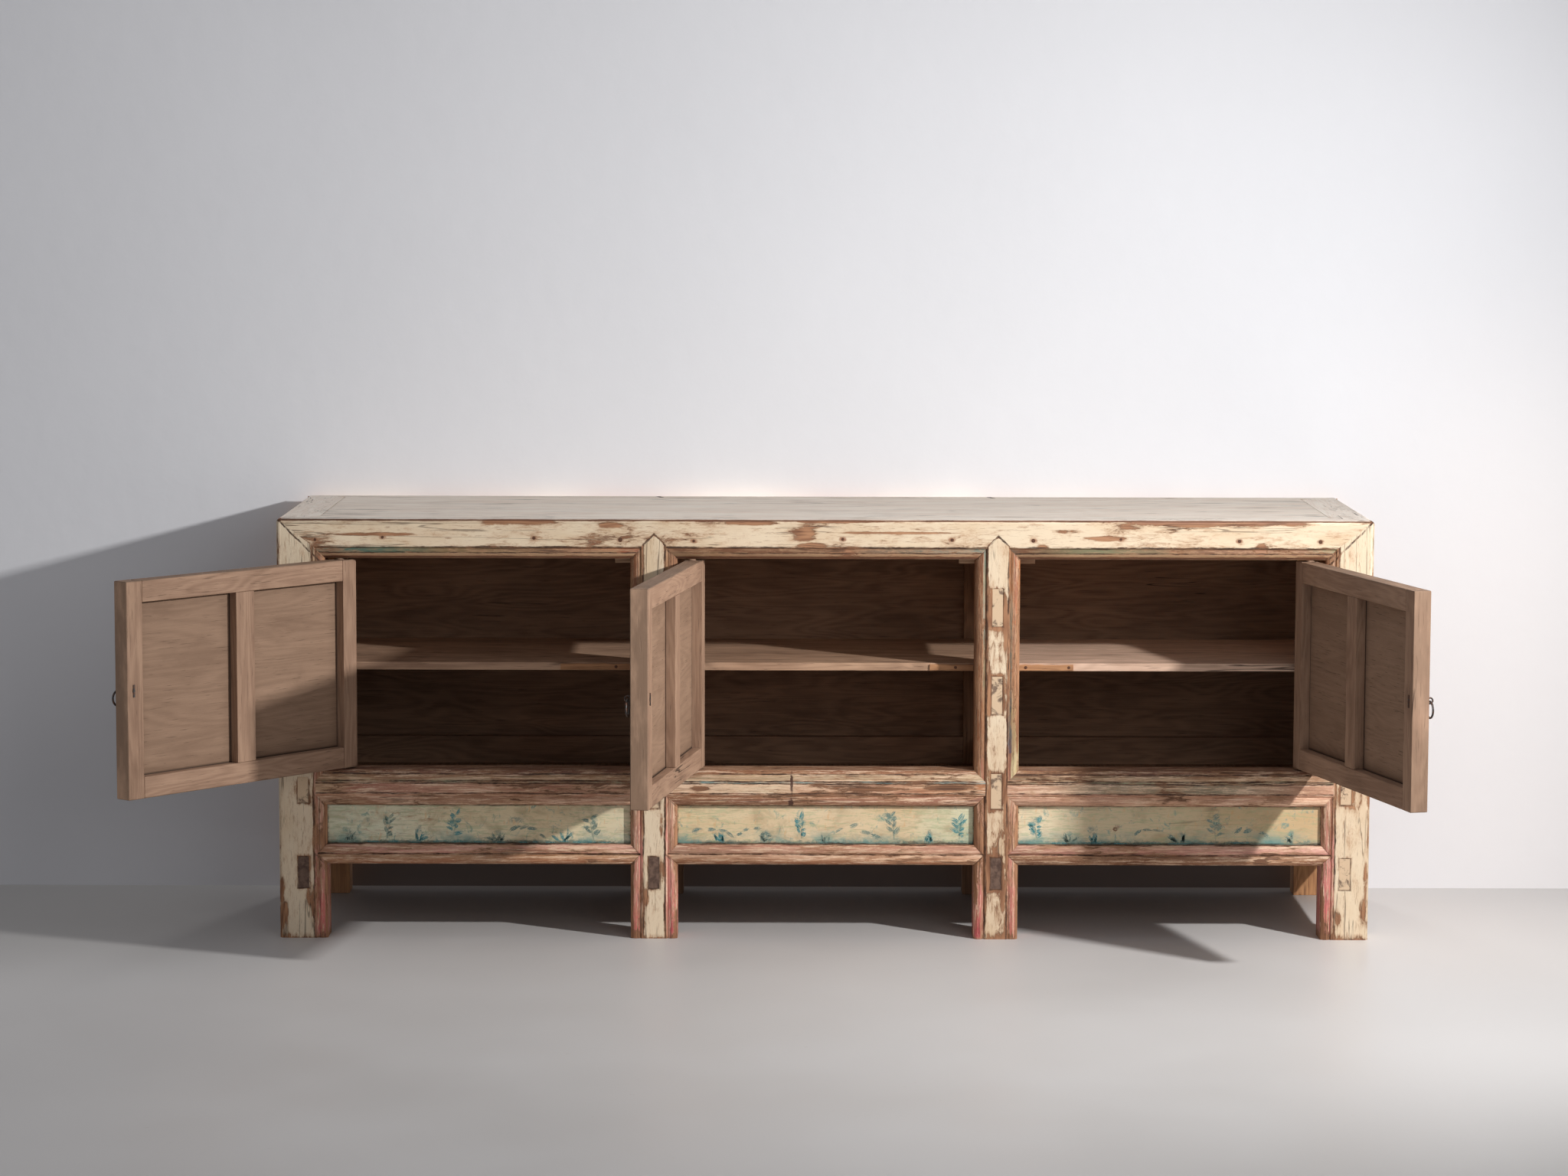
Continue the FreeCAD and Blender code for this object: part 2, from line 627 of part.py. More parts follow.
def top_back_rail():
    """The long back rail, plain, mitred and rebated like the front one."""
    rail = new_body("top_rail_back")
    section = [("0", "0"), ("back_post_depth", "0"), ("back_post_depth", "top_rail_height - edge_round", "edge_round"),
               ("back_post_depth - edge_round", "top_rail_height"), ("board_ledge", "top_rail_height"),
               ("board_ledge", "top_rail_height - board_thickness"), ("0", "top_rail_height - board_thickness")]
    pad(rail, outline(rail, "YZ", section), "total_width")
    mitre_ends(rail, "back_post_width", "back_post_width", ("back_post_depth", "0"))
    for line in ("left_frame_line - left_face", "right_frame_line - left_face"):
        chop(rail, f"{line} - half_head_tenon", f"{line} + half_head_tenon", "back_head_tenon_setback",
             "back_head_tenon_setback + head_tenon_thickness", "0", "head_tenon_height + joint_gap")
        chop(rail, f"{line} - half_batten_tenon", f"{line} + half_batten_tenon", "0 - cut_over",
             "batten_tenon + joint_gap", "top_rail_height - board_thickness - batten_height + batten_quarter",
             "top_rail_height - board_thickness - batten_quarter")
    panel_back = "back_post_depth - back_panel_setback"
    chop(rail, "back_post_width - tongue", "total_width - back_post_width + tongue",
         f"{panel_back} - panel_thickness", panel_back, "0", "tongue + joint_gap")
    keep("top_rail_back", rail, ("left_face", "inside_back", "opening_top"))


def top_side_rail(label, start, mirrored):
    """A short side rail of the top frame, its mitres the counterparts of the long rails'."""
    rail, width = new_body(label), "corner_post_width"
    section = [("0", "0"), ("0", "top_rail_height - edge_round", "edge_round"), ("edge_round", "top_rail_height"),
               (f"{width} - board_ledge", "top_rail_height"),
               (f"{width} - board_ledge", "top_rail_height - board_thickness"),
               (width, "top_rail_height - board_thickness"), (width, "0")]
    if mirrored:
        section = [(f"{width} {minus(x)}", y, *bend) for x, y, *bend in section]
        section = [(*here[:2], *before[2:]) for here, before in zip(section, section[-1:] + section[:-1])][::-1]
    pad(rail, outline(rail, "XZ", section), "depth", reverse=True)
    for ends in ((("0", "top_rail_height"), ("post_depth", "0"), ("post_depth", "0 - cut_over"),
                  ("0 - cut_over", "0 - cut_over"), ("0 - cut_over", "top_rail_height")),
                 (("depth", "top_rail_height"), ("depth - back_post_depth", "0"),
                  ("depth - back_post_depth", "0 - cut_over"), ("depth + cut_over", "0 - cut_over"),
                  ("depth + cut_over", "top_rail_height"))):
        pocket(rail, outline(rail, "YZ", list(ends)))
    outer, inner, beyond = (width, "0", "0 - cut_over") if mirrored else ("0", width, f"{width} + cut_over")
    pocket(rail, outline(rail, "XY", [(outer, "0"), (inner, "post_depth"), (beyond, "post_depth"),
                                      (beyond, "0 - cut_over"), (outer, "0 - cut_over")]))
    stop = f"{width} - back_post_width" if mirrored else "back_post_width"
    pocket(rail, outline(rail, "XY", [(outer, "depth"), (stop, "depth - back_post_depth"),
                                      (beyond, "depth - back_post_depth"), (beyond, "depth + cut_over"),
                                      (outer, "depth + cut_over")]))
    near, far = side_slot(width, mirrored, "side_panel_setback", "side_panel_setback + panel_thickness")
    chop(rail, near, far, "post_depth - tongue", "depth - back_post_depth + tongue", "0", "tongue + joint_gap")
    keep(label, rail, (start, "front_face", "opening_top"))


top_front_rail()
top_back_rail()
top_side_rail("top_rail_left", "left_face", mirrored=False)
top_side_rail("top_rail_right", "right_bay_end", mirrored=True)

# Top boards: three long planks lying in the frame's rebates, and two battens under them
board_start = "inside_front - board_ledge + board_gap"
for label, along in (("top_board_front", board_start), ("top_board_middle", f"{board_start} + board_pitch"),
                     ("top_board_back", f"{board_start} + board_pitch + board_pitch")):
    keep(label, block(label, "left_bay_start - board_ledge + board_gap", "right_bay_end + board_ledge - board_gap",
                      along, f"{along} + board_width", "boards_bottom", "height"),
         ("left_bay_start - board_ledge + board_gap", along, "boards_bottom"))


def batten(name, line):
    """A cross batten under the top boards, tenoned into the long rails."""
    rise, fall = "boards_bottom - batten_height", "boards_bottom"
    bar = block(f"{name}_bar", f"{line} - half_batten", f"{line} + half_batten", "inside_front", "inside_back",
                rise, fall)
    tenon = block(f"{name}_tenon", f"{line} - half_batten_tenon", f"{line} + half_batten_tenon",
                  "inside_front - batten_tenon", "inside_back + batten_tenon",
                  f"{rise} + batten_quarter", f"{fall} - batten_quarter")
    return join(name, [bar, tenon])


keep("top_battens", group("top_battens", [batten("batten_left", "left_frame_line"),
                                          batten("batten_right", "right_frame_line")]))


# Front rails of each bay, with shoulders that lap over the post beads and mitre into them
def finish_rail(rail, bay, rail_height, ends):
    """Mitres both shoulders of a front rail and leaves its tenons behind them."""
    for points in ends:
        pocket(rail, outline(rail, "XZ", points))
    for near, far in (("0 - bead_width - cut_over", "0"), (bay, f"{bay} + bead_width + cut_over")):
        chop(rail, near, far, "rail_lap", "post_depth + cut_over", "0 - cut_over", f"{rail_height} + cut_over")
    add_block(rail, "0 - rail_tenon_length", f"{bay} + rail_tenon_length", "rail_lap",
              "rail_lap + rail_tenon_thickness", "rail_tenon_shoulder", f"{rail_height} - rail_tenon_shoulder")


def middle_rail(label, start, bay, hinge):
    """The sill under a door: a bead above, a flat, a bead below, and the socket of the lower pivot."""
    rail, top = new_body(label), "middle_rail_height"
    panel_back = "panel_recess + panel_thickness"
    section = [("panel_recess", "0"), ("panel_recess", "tongue + joint_gap"), (panel_back, "tongue + joint_gap"),
               (panel_back, "0"), ("post_depth", "0"), ("post_depth", top), ("bead_fall", top, "bead_radius"),
               ("quirk_width", f"{top} - bead_width + quirk_width"), ("0", f"{top} - bead_width"),
               ("0", "bead_width"), ("quirk_width", "bead_width - quirk_width", "bead_radius"), ("bead_fall", "0")]
    pad(rail, outline(rail, "YZ", section, "0 - bead_width"), f"{bay} + bead_width + bead_width")
    ends = []
    for edge, tip, beyond in (("0", "0 - bead_width", "0 - bead_width - cut_over"),
                              (bay, f"{bay} + bead_width", f"{bay} + bead_width + cut_over")):
        ends.append([(edge, top), (tip, f"{top} - bead_width"), (beyond, f"{top} - bead_width"),
                     (beyond, f"{top} + cut_over"), (edge, f"{top} + cut_over")])
        ends.append([(edge, "0"), (tip, "bead_width"), (beyond, "bead_width"), (beyond, "0 - cut_over"),
                     (edge, "0 - cut_over")])
    finish_rail(rail, bay, top, ends)
    pivot = f"{bay} - heel_gap - heel_inset" if hinge == "right" else "heel_gap + heel_inset"
    bore(rail, pivot, "door_setback + pivot_to_face", "socket_radius",
         f"{top} - bottom_pin_entry - pin_end_gap", top)
    keep(label, rail, (start, "front_face", "middle_rail_bottom"))


def lower_rail(label, start, bay):
    """The lowest front rail, worked as two beads whose ends come to a point in the post beads."""
    rail, top = new_body(label), "lower_rail_height"
    panel_back = "panel_recess + panel_thickness"
    section = [("bead_fall", "0"), ("post_depth", "0"), ("post_depth", top), (panel_back, top),
               (panel_back, f"{top} - tongue - joint_gap"), ("panel_recess", f"{top} - tongue - joint_gap"),
               ("panel_recess", top), ("bead_fall", top, "bead_radius"),
               ("quirk_width", "lower_bead + quirk_width"), ("quirk_width + quirk_width", "lower_bead"),
               ("quirk_width", "lower_bead - quirk_width", "bead_radius")]
    pad(rail, outline(rail, "YZ", section, "0 - bead_width"), f"{bay} + bead_width + bead_width")
    ends = []
    for edge, tip, beyond in (("0", "0 - lower_bead", "0 - bead_width - cut_over"),
                              (bay, f"{bay} + lower_bead", f"{bay} + bead_width + cut_over")):
        ends.append([(edge, f"{top} + cut_over"), (edge, top), (tip, "lower_bead"), (edge, "0"),
                     (edge, "0 - cut_over"), (beyond, "0 - cut_over"), (beyond, f"{top} + cut_over")])
    finish_rail(rail, bay, top, ends)
    keep(label, rail, (start, "front_face", "lower_rail_bottom"))


for bay, hinge in (("left", "left"), ("centre", "left"), ("right", "right")):
    middle_rail(f"middle_rail_{bay}", f"{bay}_bay_start", f"{bay}_bay", hinge)
    lower_rail(f"lower_rail_{bay}", f"{bay}_bay_start", f"{bay}_bay")
    start, end = f"{bay}_bay_start - tongue", f"{bay}_bay_end + tongue"
    label = f"painted_panel_{bay}"
    keep(label, block(label, start, end, "front_face + panel_recess", "front_face + panel_recess + panel_thickness",
                      "lower_rail_top - tongue", "middle_rail_bottom + tongue"),
         (start, "front_face + panel_recess", "lower_rail_top - tongue"))


# Rails from front to back, with tenons that show in the faces of the front posts
def through_rail(name, left, right, tenon_left, tenon_right, rail, low, high, grooves=()):
    """A rail between a front post and a back post, less the grooves that hold its boards."""
    bar = block(f"{name}_bar", left, right, "inside_front", "inside_back", f"{rail}_bottom",
                f"{rail}_bottom + {rail}_height")
    tenon = block(f"{name}_tenon", tenon_left, tenon_right, "front_face + cross_tenon_shy",
                  "inside_back + back_tenon_length", low, high)
    whole = join(f"{name}_whole", [bar, tenon])
    if not grooves:
        return whole
    ploughed = doc.addObject("Part::Cut", name)
    ploughed.Base = whole
    ploughed.Tool = group(f"{name}_grooves", [
        block(f"{name}_groove_{number}", x0, x1, "inside_front - cut_over", "inside_back + cut_over", z0, z1)
        for number, (x0, x1, z0, z1) in enumerate(grooves)])
    return ploughed


for side, line in (("left", "left_frame_line"), ("right", "right_frame_line")):
    rails = []
    for rail, low, high in inner_rails():
        near, far = f"{line} - half_cross_rail", f"{line} + half_cross_rail"
        grooves = [(f"{near} - cut_over", f"{near} + tongue", "floor_bottom", "floor_top"),
                   (f"{far} - tongue", f"{far} + cut_over", "floor_bottom", "floor_top")]
        rails.append(through_rail(f"cross_{rail}_{side}", near, far, f"{line} - half_cross_tenon",
                                  f"{line} + half_cross_tenon", rail, low, high,
                                  grooves if rail == "floor_rail" else ()))
    keep(f"cross_rails_{side}", group(f"cross_rails_{side}", rails))


def from_side(side, distance):
    """A place measured in from the outer face of one side of the carcass."""
    return f"left_face + {distance}" if side == "left" else f"right_face {minus(distance)}"


def in_order(side, near, far):
    """Two such places, from left to right."""
    spots = (from_side(side, near), from_side(side, far))
    return spots if side == "left" else spots[::-1]


bearers = []
for side in ("left", "right"):
    tenon = in_order(side, "side_tenon_setback", "side_tenon_setback + cross_tenon_thickness")
    panel = in_order(side, "side_panel_setback", "side_panel_setback + panel_thickness")
    floor_edge = in_order(side, "side_rail_setback + side_rail_thickness - tongue",
                          "side_rail_setback + side_rail_thickness + cut_over")
    rails = []
    for rail, low, high in side_rails():
        if rail == "shelf_rail":
            bearer = in_order(side, "bearer_setback", "bearer_setback + bearer_thickness")
            bearers.append(through_rail(f"bearer_{side}", *bearer, *tenon, rail, low, high))
            continue
        bottom, top = f"{rail}_bottom", f"{rail}_bottom + {rail}_height"
        grooves = [(*panel, f"{top} - tongue", f"{top} + cut_over")]
        if rail == "floor_rail":
            grooves += [(*panel, f"{bottom} - cut_over", f"{bottom} + tongue"),
                        (*floor_edge, "floor_bottom", "floor_top")]
        rails.append(through_rail(f"side_{rail}_{side}",
                                  *in_order(side, "side_rail_setback", "side_rail_setback + side_rail_thickness"),
                                  *tenon, rail, low, high, grooves))
    keep(f"side_rails_{side}", group(f"side_rails_{side}", rails))
    boards = [block(f"side_panel_{level}_{side}", *panel, "inside_front - tongue", "inside_back + tongue", low, high)
              for level, low, high in (("upper", "floor_rail_top - tongue", "opening_top + tongue"),
                                       ("lower", "foot_rail_top - tongue", "floor_rail_bottom + tongue"))]
    keep(f"side_panels_{side}", group(f"side_panels_{side}", boards))
keep("shelf_bearers", group("shelf_bearers", bearers))

# Back rails and boards, between the back posts
back_rails, back_panels = [], []
panel_back = "back_face - back_panel_setback"
for bay, start, end in (("left", "left_face + back_post_width", "left_bay_end"),
                        ("centre", "centre_bay_start", "centre_bay_end"),
                        ("right", "right_bay_start", "right_face - back_post_width")):
    for rail in ("floor_rail", "foot_rail"):
        bottom, top = f"{rail}_bottom", f"{rail}_bottom + {rail}_height"
        bar = block(f"back_{rail}_{bay}_bar", start, end, "inside_back", "back_face - back_rail_setback", bottom, top)
        tenon = block(f"back_{rail}_{bay}_tenon", f"{start} - back_rail_tenon_length",
                      f"{end} + back_rail_tenon_length", f"{panel_back} - rail_tenon_thickness", panel_back,
                      f"{bottom} + rail_tenon_shoulder", f"{top} - rail_tenon_shoulder")
        spans = [(f"{top} - tongue", f"{top} + cut_over")]
        if rail == "floor_rail":
            spans.append((f"{bottom} - cut_over", f"{bottom} + tongue"))
        ploughed = doc.addObject("Part::Cut", f"back_{rail}_{bay}")
        ploughed.Base = join(f"back_{rail}_{bay}_whole", [bar, tenon])
        ploughed.Tool = group(f"back_{rail}_{bay}_grooves", [
            block(f"back_{rail}_{bay}_groove_{number}", f"{start} - tongue", f"{end} + tongue",
                  f"{panel_back} - panel_thickness", panel_back, low, high)
            for number, (low, high) in enumerate(spans)])
        back_rails.append(ploughed)
    for level, low, high in (("upper", "floor_rail_top - tongue", "opening_top + tongue"),
                             ("lower", "foot_rail_top - tongue", "floor_rail_bottom + tongue")):
        back_panels.append(block(f"back_panel_{level}_{bay}", f"{start} - tongue", f"{end} + tongue",
                                 f"{panel_back} - panel_thickness", panel_back, low, high))
keep("back_rails", group("back_rails", back_rails))
keep("back_panels", group("back_panels", back_panels))

# Cupboard floor and shelves
floor_ends = {
    "left": ("left_face + side_rail_setback + side_rail_thickness - tongue",
             "left_frame_line - half_cross_rail + tongue"),
    "centre": ("left_frame_line + half_cross_rail - tongue", "right_frame_line - half_cross_rail + tongue"),
    "right": ("right_frame_line + half_cross_rail - tongue",
              "right_face - side_rail_setback - side_rail_thickness + tongue"),
}
keep("floor_boards", group("floor_boards", [
    block(f"floor_{bay}", start, end, "inside_front", "inside_back", "floor_bottom", "floor_top")
    for bay, (start, end) in floor_ends.items()]))
for bay, start, end in (("left", "left_face + bearer_setback", "left_frame_line - shelf_joint"),
                        ("centre", "left_frame_line", "right_frame_line"),
                        ("right", "right_frame_line + shelf_joint", "right_face - bearer_setback")):
    keep(f"shelf_{bay}", block(f"shelf_{bay}", start, end, "front_face + shelf_front_setback",
                               "back_face - shelf_back_setback", "shelf_level", "shelf_level + shelf_thickness"),
         (start, "front_face + shelf_front_setback", "shelf_level"))

# Door stops: blocks under the top rail, behind the free edge of each door
stop_front = "front_face + door_setback + door_thickness + stop_gap"
keep("door_stops", group("door_stops", [
    block(name, start, end, stop_front, f"{stop_front} + stop_thickness", "opening_top - stop_height", "opening_top")
    for name, start, end in (("stop_left", "left_bay_end - stop_length", "left_bay_end"),
                             ("stop_centre", "centre_bay_end - stop_length", "centre_bay_end"),
                             ("stop_right", "right_bay_start", "right_bay_start + stop_length"))]))


# Doors: each drawn about its pivot, which is at x 0 and y 0, with its foot at z 0
def door(side, hinge):
    """A frame of two stiles, two rails and a muntin round two panels, hung on wooden pins."""
    width, middle = f"{side}_door_width", f"{side}_door_middle"
    stand = ((f"{side}_pivot", "pivot_line", "door_bottom"), f"{side}_turn")
    heel, heel_in = "0 - heel_inset", "0 - heel_inset + stile_width"
    free, free_in = f"{width} - heel_inset", f"{width} - heel_inset - stile_width"

    def across(distance):
        """A distance in from the outer face, as a place across the door's thickness."""
        return f"{distance} - pivot_to_face" if hinge == "left" else f"pivot_to_face {minus(distance)}"

    def span(near, far):
        """Two such places with the lower one first."""
        return (across(near), across(far)) if hinge == "left" else (across(far), across(near))

    outer, inner = across("0"), across("door_thickness")
    panel = span("door_panel_inset", "door_panel_inset + door_panel_thickness")
    tenon = span("door_tenon_inset", "door_tenon_inset + door_tenon_thickness")
    rail_levels = (("0", "door_rail_height"), ("door_height - door_rail_height", "door_height"))

    stile = new_body(f"door_{side}_heel_stile")
    section = [(f"{heel} + heel_outer_round", outer), (heel_in, outer), (heel_in, inner),
               (f"{heel} + heel_inner_round", inner, "heel_inner_round"),
               (heel, across("door_thickness - heel_inner_round")),
               (heel, across("heel_outer_round"), "heel_outer_round")]
    pad(stile, outline(stile, "XY", section), "door_height")
    pocket(stile, outline(stile, "XZ", [
        (f"{heel} - cut_over", "door_height - heel_top_round"),
        (heel, "door_height - heel_top_round", "~heel_top_round"), (f"{heel} + heel_top_round", "door_height"),
        (f"{heel} + heel_top_round", "door_height + cut_over"), (f"{heel} - cut_over", "door_height + cut_over")]))
    pins = disc(stile, "XY", "0", "0", "pin_radius", "0 - door_bottom_gap - bottom_pin_entry")
    pad(stile, pins, "pin_length")
    chop(stile, f"{heel_in} - door_groove", f"{heel_in} + cut_over", *panel, "0", "door_height")
    for low, high in rail_levels:
        chop(stile, f"{heel_in} - door_tenon_length - joint_gap", f"{heel_in} + cut_over", *tenon,
             f"{low} + door_tenon_shoulder", f"{high} - door_tenon_shoulder")
    keep(f"door_{side}_heel_stile", stile, *stand)

    stile = new_body(f"door_{side}_free_stile")
    add_block(stile, free_in, free, *span("0", "door_thickness"), "0", "door_height")
    chop(stile, f"{free_in} - cut_over", f"{free_in} + door_groove", *panel, "0", "door_height")
    for low, high in rail_levels:
        chop(stile, f"{free_in} - cut_over", f"{free_in} + door_tenon_length + joint_gap", *tenon,
             f"{low} + door_tenon_shoulder", f"{high} - door_tenon_shoulder")
    staple_x = f"{free} - ring_edge_distance"
    pocket(stile, disc(stile, "XZ", staple_x, "ring_level", "shank_hole"))
    keep(f"door_{side}_free_stile", stile, *stand)

    rails = []
    for name, (low, high), groove in (
        ("bottom", rail_levels[0], ("door_rail_height - door_groove", "door_rail_height + cut_over")),
        ("top", rail_levels[1], ("door_height - door_rail_height - cut_over",
                                 "door_height - door_rail_height + door_groove")),
    ):
        rail = new_body(f"door_{side}_{name}_rail")
        add_block(rail, heel_in, free_in, *span("0", "door_thickness"), low, high)
        add_block(rail, f"{heel_in} - door_tenon_length", f"{free_in} + door_tenon_length", *tenon,
                  f"{low} + door_tenon_shoulder", f"{high} - door_tenon_shoulder")
        chop(rail, f"{heel_in} - cut_over", f"{free_in} + cut_over", *panel, *groove)
        mortise = ("door_rail_height - muntin_tenon_length - joint_gap", groove[1]) if name == "bottom" else (
            groove[0], "door_height - door_rail_height + muntin_tenon_length + joint_gap")
        chop(rail, f"{middle} - half_muntin_tenon", f"{middle} + half_muntin_tenon", *tenon, *mortise)
        rails.append(rail)
    keep(f"door_{side}_rails", group(f"door_{side}_rails", rails), *stand)

    muntin = new_body(f"door_{side}_muntin")
    left, right = f"{middle} - half_muntin", f"{middle} + half_muntin"
    add_block(muntin, left, right, *span("0", "door_thickness"), "door_rail_height",
              "door_height - door_rail_height")
    add_block(muntin, f"{middle} - half_muntin_tenon", f"{middle} + half_muntin_tenon", *tenon,
              "door_rail_height - muntin_tenon_length", "door_height - door_rail_height + muntin_tenon_length")
    for near, far in ((f"{left} - cut_over", f"{left} + door_groove"), (f"{right} - door_groove",
                                                                     f"{right} + cut_over")):
        chop(muntin, near, far, *panel, "door_rail_height - cut_over",
             "door_height - door_rail_height + cut_over")
    keep(f"door_{side}_muntin", muntin, *stand)

    entry = "door_groove - joint_gap"
    low = f"door_rail_height {minus(entry)}"
    high = f"door_height - door_rail_height + {entry}"
    keep(f"door_{side}_panels", group(f"door_{side}_panels", [
        block(f"door_{side}_panel_{name}", near, far, *panel, low, high)
        for name, near, far in (("heel", f"{heel_in} {minus(entry)}", f"{left} + {entry}"),
                                ("free", f"{right} {minus(entry)}", f"{free_in} + {entry}"))]), *stand)

    # Ring pull: a wrought ring in the eye of a staple, whose legs are bent over inside the door
    eye_line = across("0 - eye_standoff")
    eye = wire_loop(f"door_{side}_eye", "eye_radius", "eye_wire", EYE_LINKS,
                    (staple_x, eye_line, "ring_level"), FreeCAD.Vector(1, 0, 0))
    shank = doc.addObject("Part::Cylinder", f"door_{side}_shank")
    shank.setExpression("Radius", bound("shank_radius"))
    shank.setExpression("Height", bound("shank_length"))
    inward = 1 if hinge == "left" else -1
    shank.Placement.Rotation = FreeCAD.Rotation(FreeCAD.Vector(0, 0, 1), FreeCAD.Vector(0, inward, 0))
    place(shank, (staple_x, across("0 - eye_standoff + eye_radius"), "ring_level"))
    legs = block(f"door_{side}_legs", f"{staple_x} - half_leg", f"{staple_x} + half_leg",
                 *span("door_thickness", "door_thickness + staple_leg_thickness"),
                 "ring_level - staple_leg_length", "ring_level + staple_leg_length")
    keep(f"ring_staple_{side}", join(f"ring_staple_{side}", [eye, shank, legs]), *stand)
    ring = wire_loop(f"ring_{side}_loop", "ring_radius", "ring_wire", RING_LINKS,
                     (staple_x, eye_line, "ring_level - eye_hang - ring_radius"), FreeCAD.Vector(0, 1, 0))
    keep(f"ring_pull_{side}", group(f"ring_pull_{side}", [ring]), *stand)


door("left", "left")
door("centre", "left")
door("right", "right")

doc.recompute()
for piece in doc.Objects:
    if {"Invalid", "Error"} & set(piece.State):
        raise SystemExit(f"{piece.Name} could not be made: {piece.State}")
for piece in kept:
    if piece.Shape.isNull() or not piece.Shape.isValid() or not piece.Shape.Solids:
        raise SystemExit(f"{piece.Label} has no sound shape")
os.makedirs("parts", exist_ok=True)
for piece in kept:
    piece.Shape.exportStep(f"parts/{piece.Label}.step")
print(len(kept), "nodes with", sum(len(piece.Shape.Solids) for piece in kept), "solids")
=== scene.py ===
import math
import random

import bmesh
import bpy
from mathutils import Matrix, Vector


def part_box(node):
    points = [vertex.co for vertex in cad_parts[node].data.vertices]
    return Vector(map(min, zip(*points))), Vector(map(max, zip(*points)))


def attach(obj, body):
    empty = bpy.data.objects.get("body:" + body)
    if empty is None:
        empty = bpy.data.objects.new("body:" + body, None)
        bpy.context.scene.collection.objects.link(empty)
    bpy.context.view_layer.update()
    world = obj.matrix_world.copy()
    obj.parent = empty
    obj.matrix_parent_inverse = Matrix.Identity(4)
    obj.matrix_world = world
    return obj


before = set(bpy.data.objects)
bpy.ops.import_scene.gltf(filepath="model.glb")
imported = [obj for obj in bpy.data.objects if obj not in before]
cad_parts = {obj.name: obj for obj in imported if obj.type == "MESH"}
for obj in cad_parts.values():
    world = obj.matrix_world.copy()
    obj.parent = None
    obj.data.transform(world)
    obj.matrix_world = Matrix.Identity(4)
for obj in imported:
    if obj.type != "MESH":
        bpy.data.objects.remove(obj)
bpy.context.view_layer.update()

mm = 0.001

# The camera stands in front of the middle bay at standing height, 8.2 m off, with a long lens.
# It looks down a little, so that the top shows as a narrow band.
tilt, swing, lean = math.radians(5.961), math.radians(-0.059), math.radians(0.146)
across = Vector((math.cos(swing), math.sin(swing), 0))
ahead = Vector((-math.sin(swing), math.cos(swing), 0))
view_up = ahead * math.sin(tilt) + Vector((0, 0, math.cos(tilt)))
view_ahead = ahead * math.cos(tilt) - Vector((0, 0, math.sin(tilt)))
right = across * math.cos(lean) + view_up * math.sin(lean)
up = view_up * math.cos(lean) - across * math.sin(lean)
camera = bpy.data.objects.new("camera", bpy.data.cameras.new("camera"))
camera.matrix_world = Matrix((right, up, -view_ahead)).transposed().to_4x4()
camera.location = (958.5 * mm, -8220.5 * mm, 1567 * mm)
focal_pixels, picture_width, sensor_width = 5375.4, 2048, 36
camera.data.sensor_width = sensor_width
camera.data.lens = focal_pixels * sensor_width / picture_width
camera.data.clip_end = 200
bpy.context.scene.collection.objects.link(camera)
bpy.context.scene.camera = camera
bpy.context.scene.view_settings.view_transform = "Standard"


# The floor is smooth pale screed and the wall behind is whitewashed. Neither belongs to the part.
# The wall shows only from its front, and holds no light off the part, so the back can be looked at too.
# Both carry painted shade under and behind the part, and painted light at its right.
def tone(red, green, blue):
    """A colour as the eye reads it, 0 to 255, as the light value that the nodes take."""
    return tuple(
        (c / 255 / 12.92) if c < 10 else ((c / 255 + 0.055) / 1.055) ** 2.4 for c in (red, green, blue)
    ) + (1,)


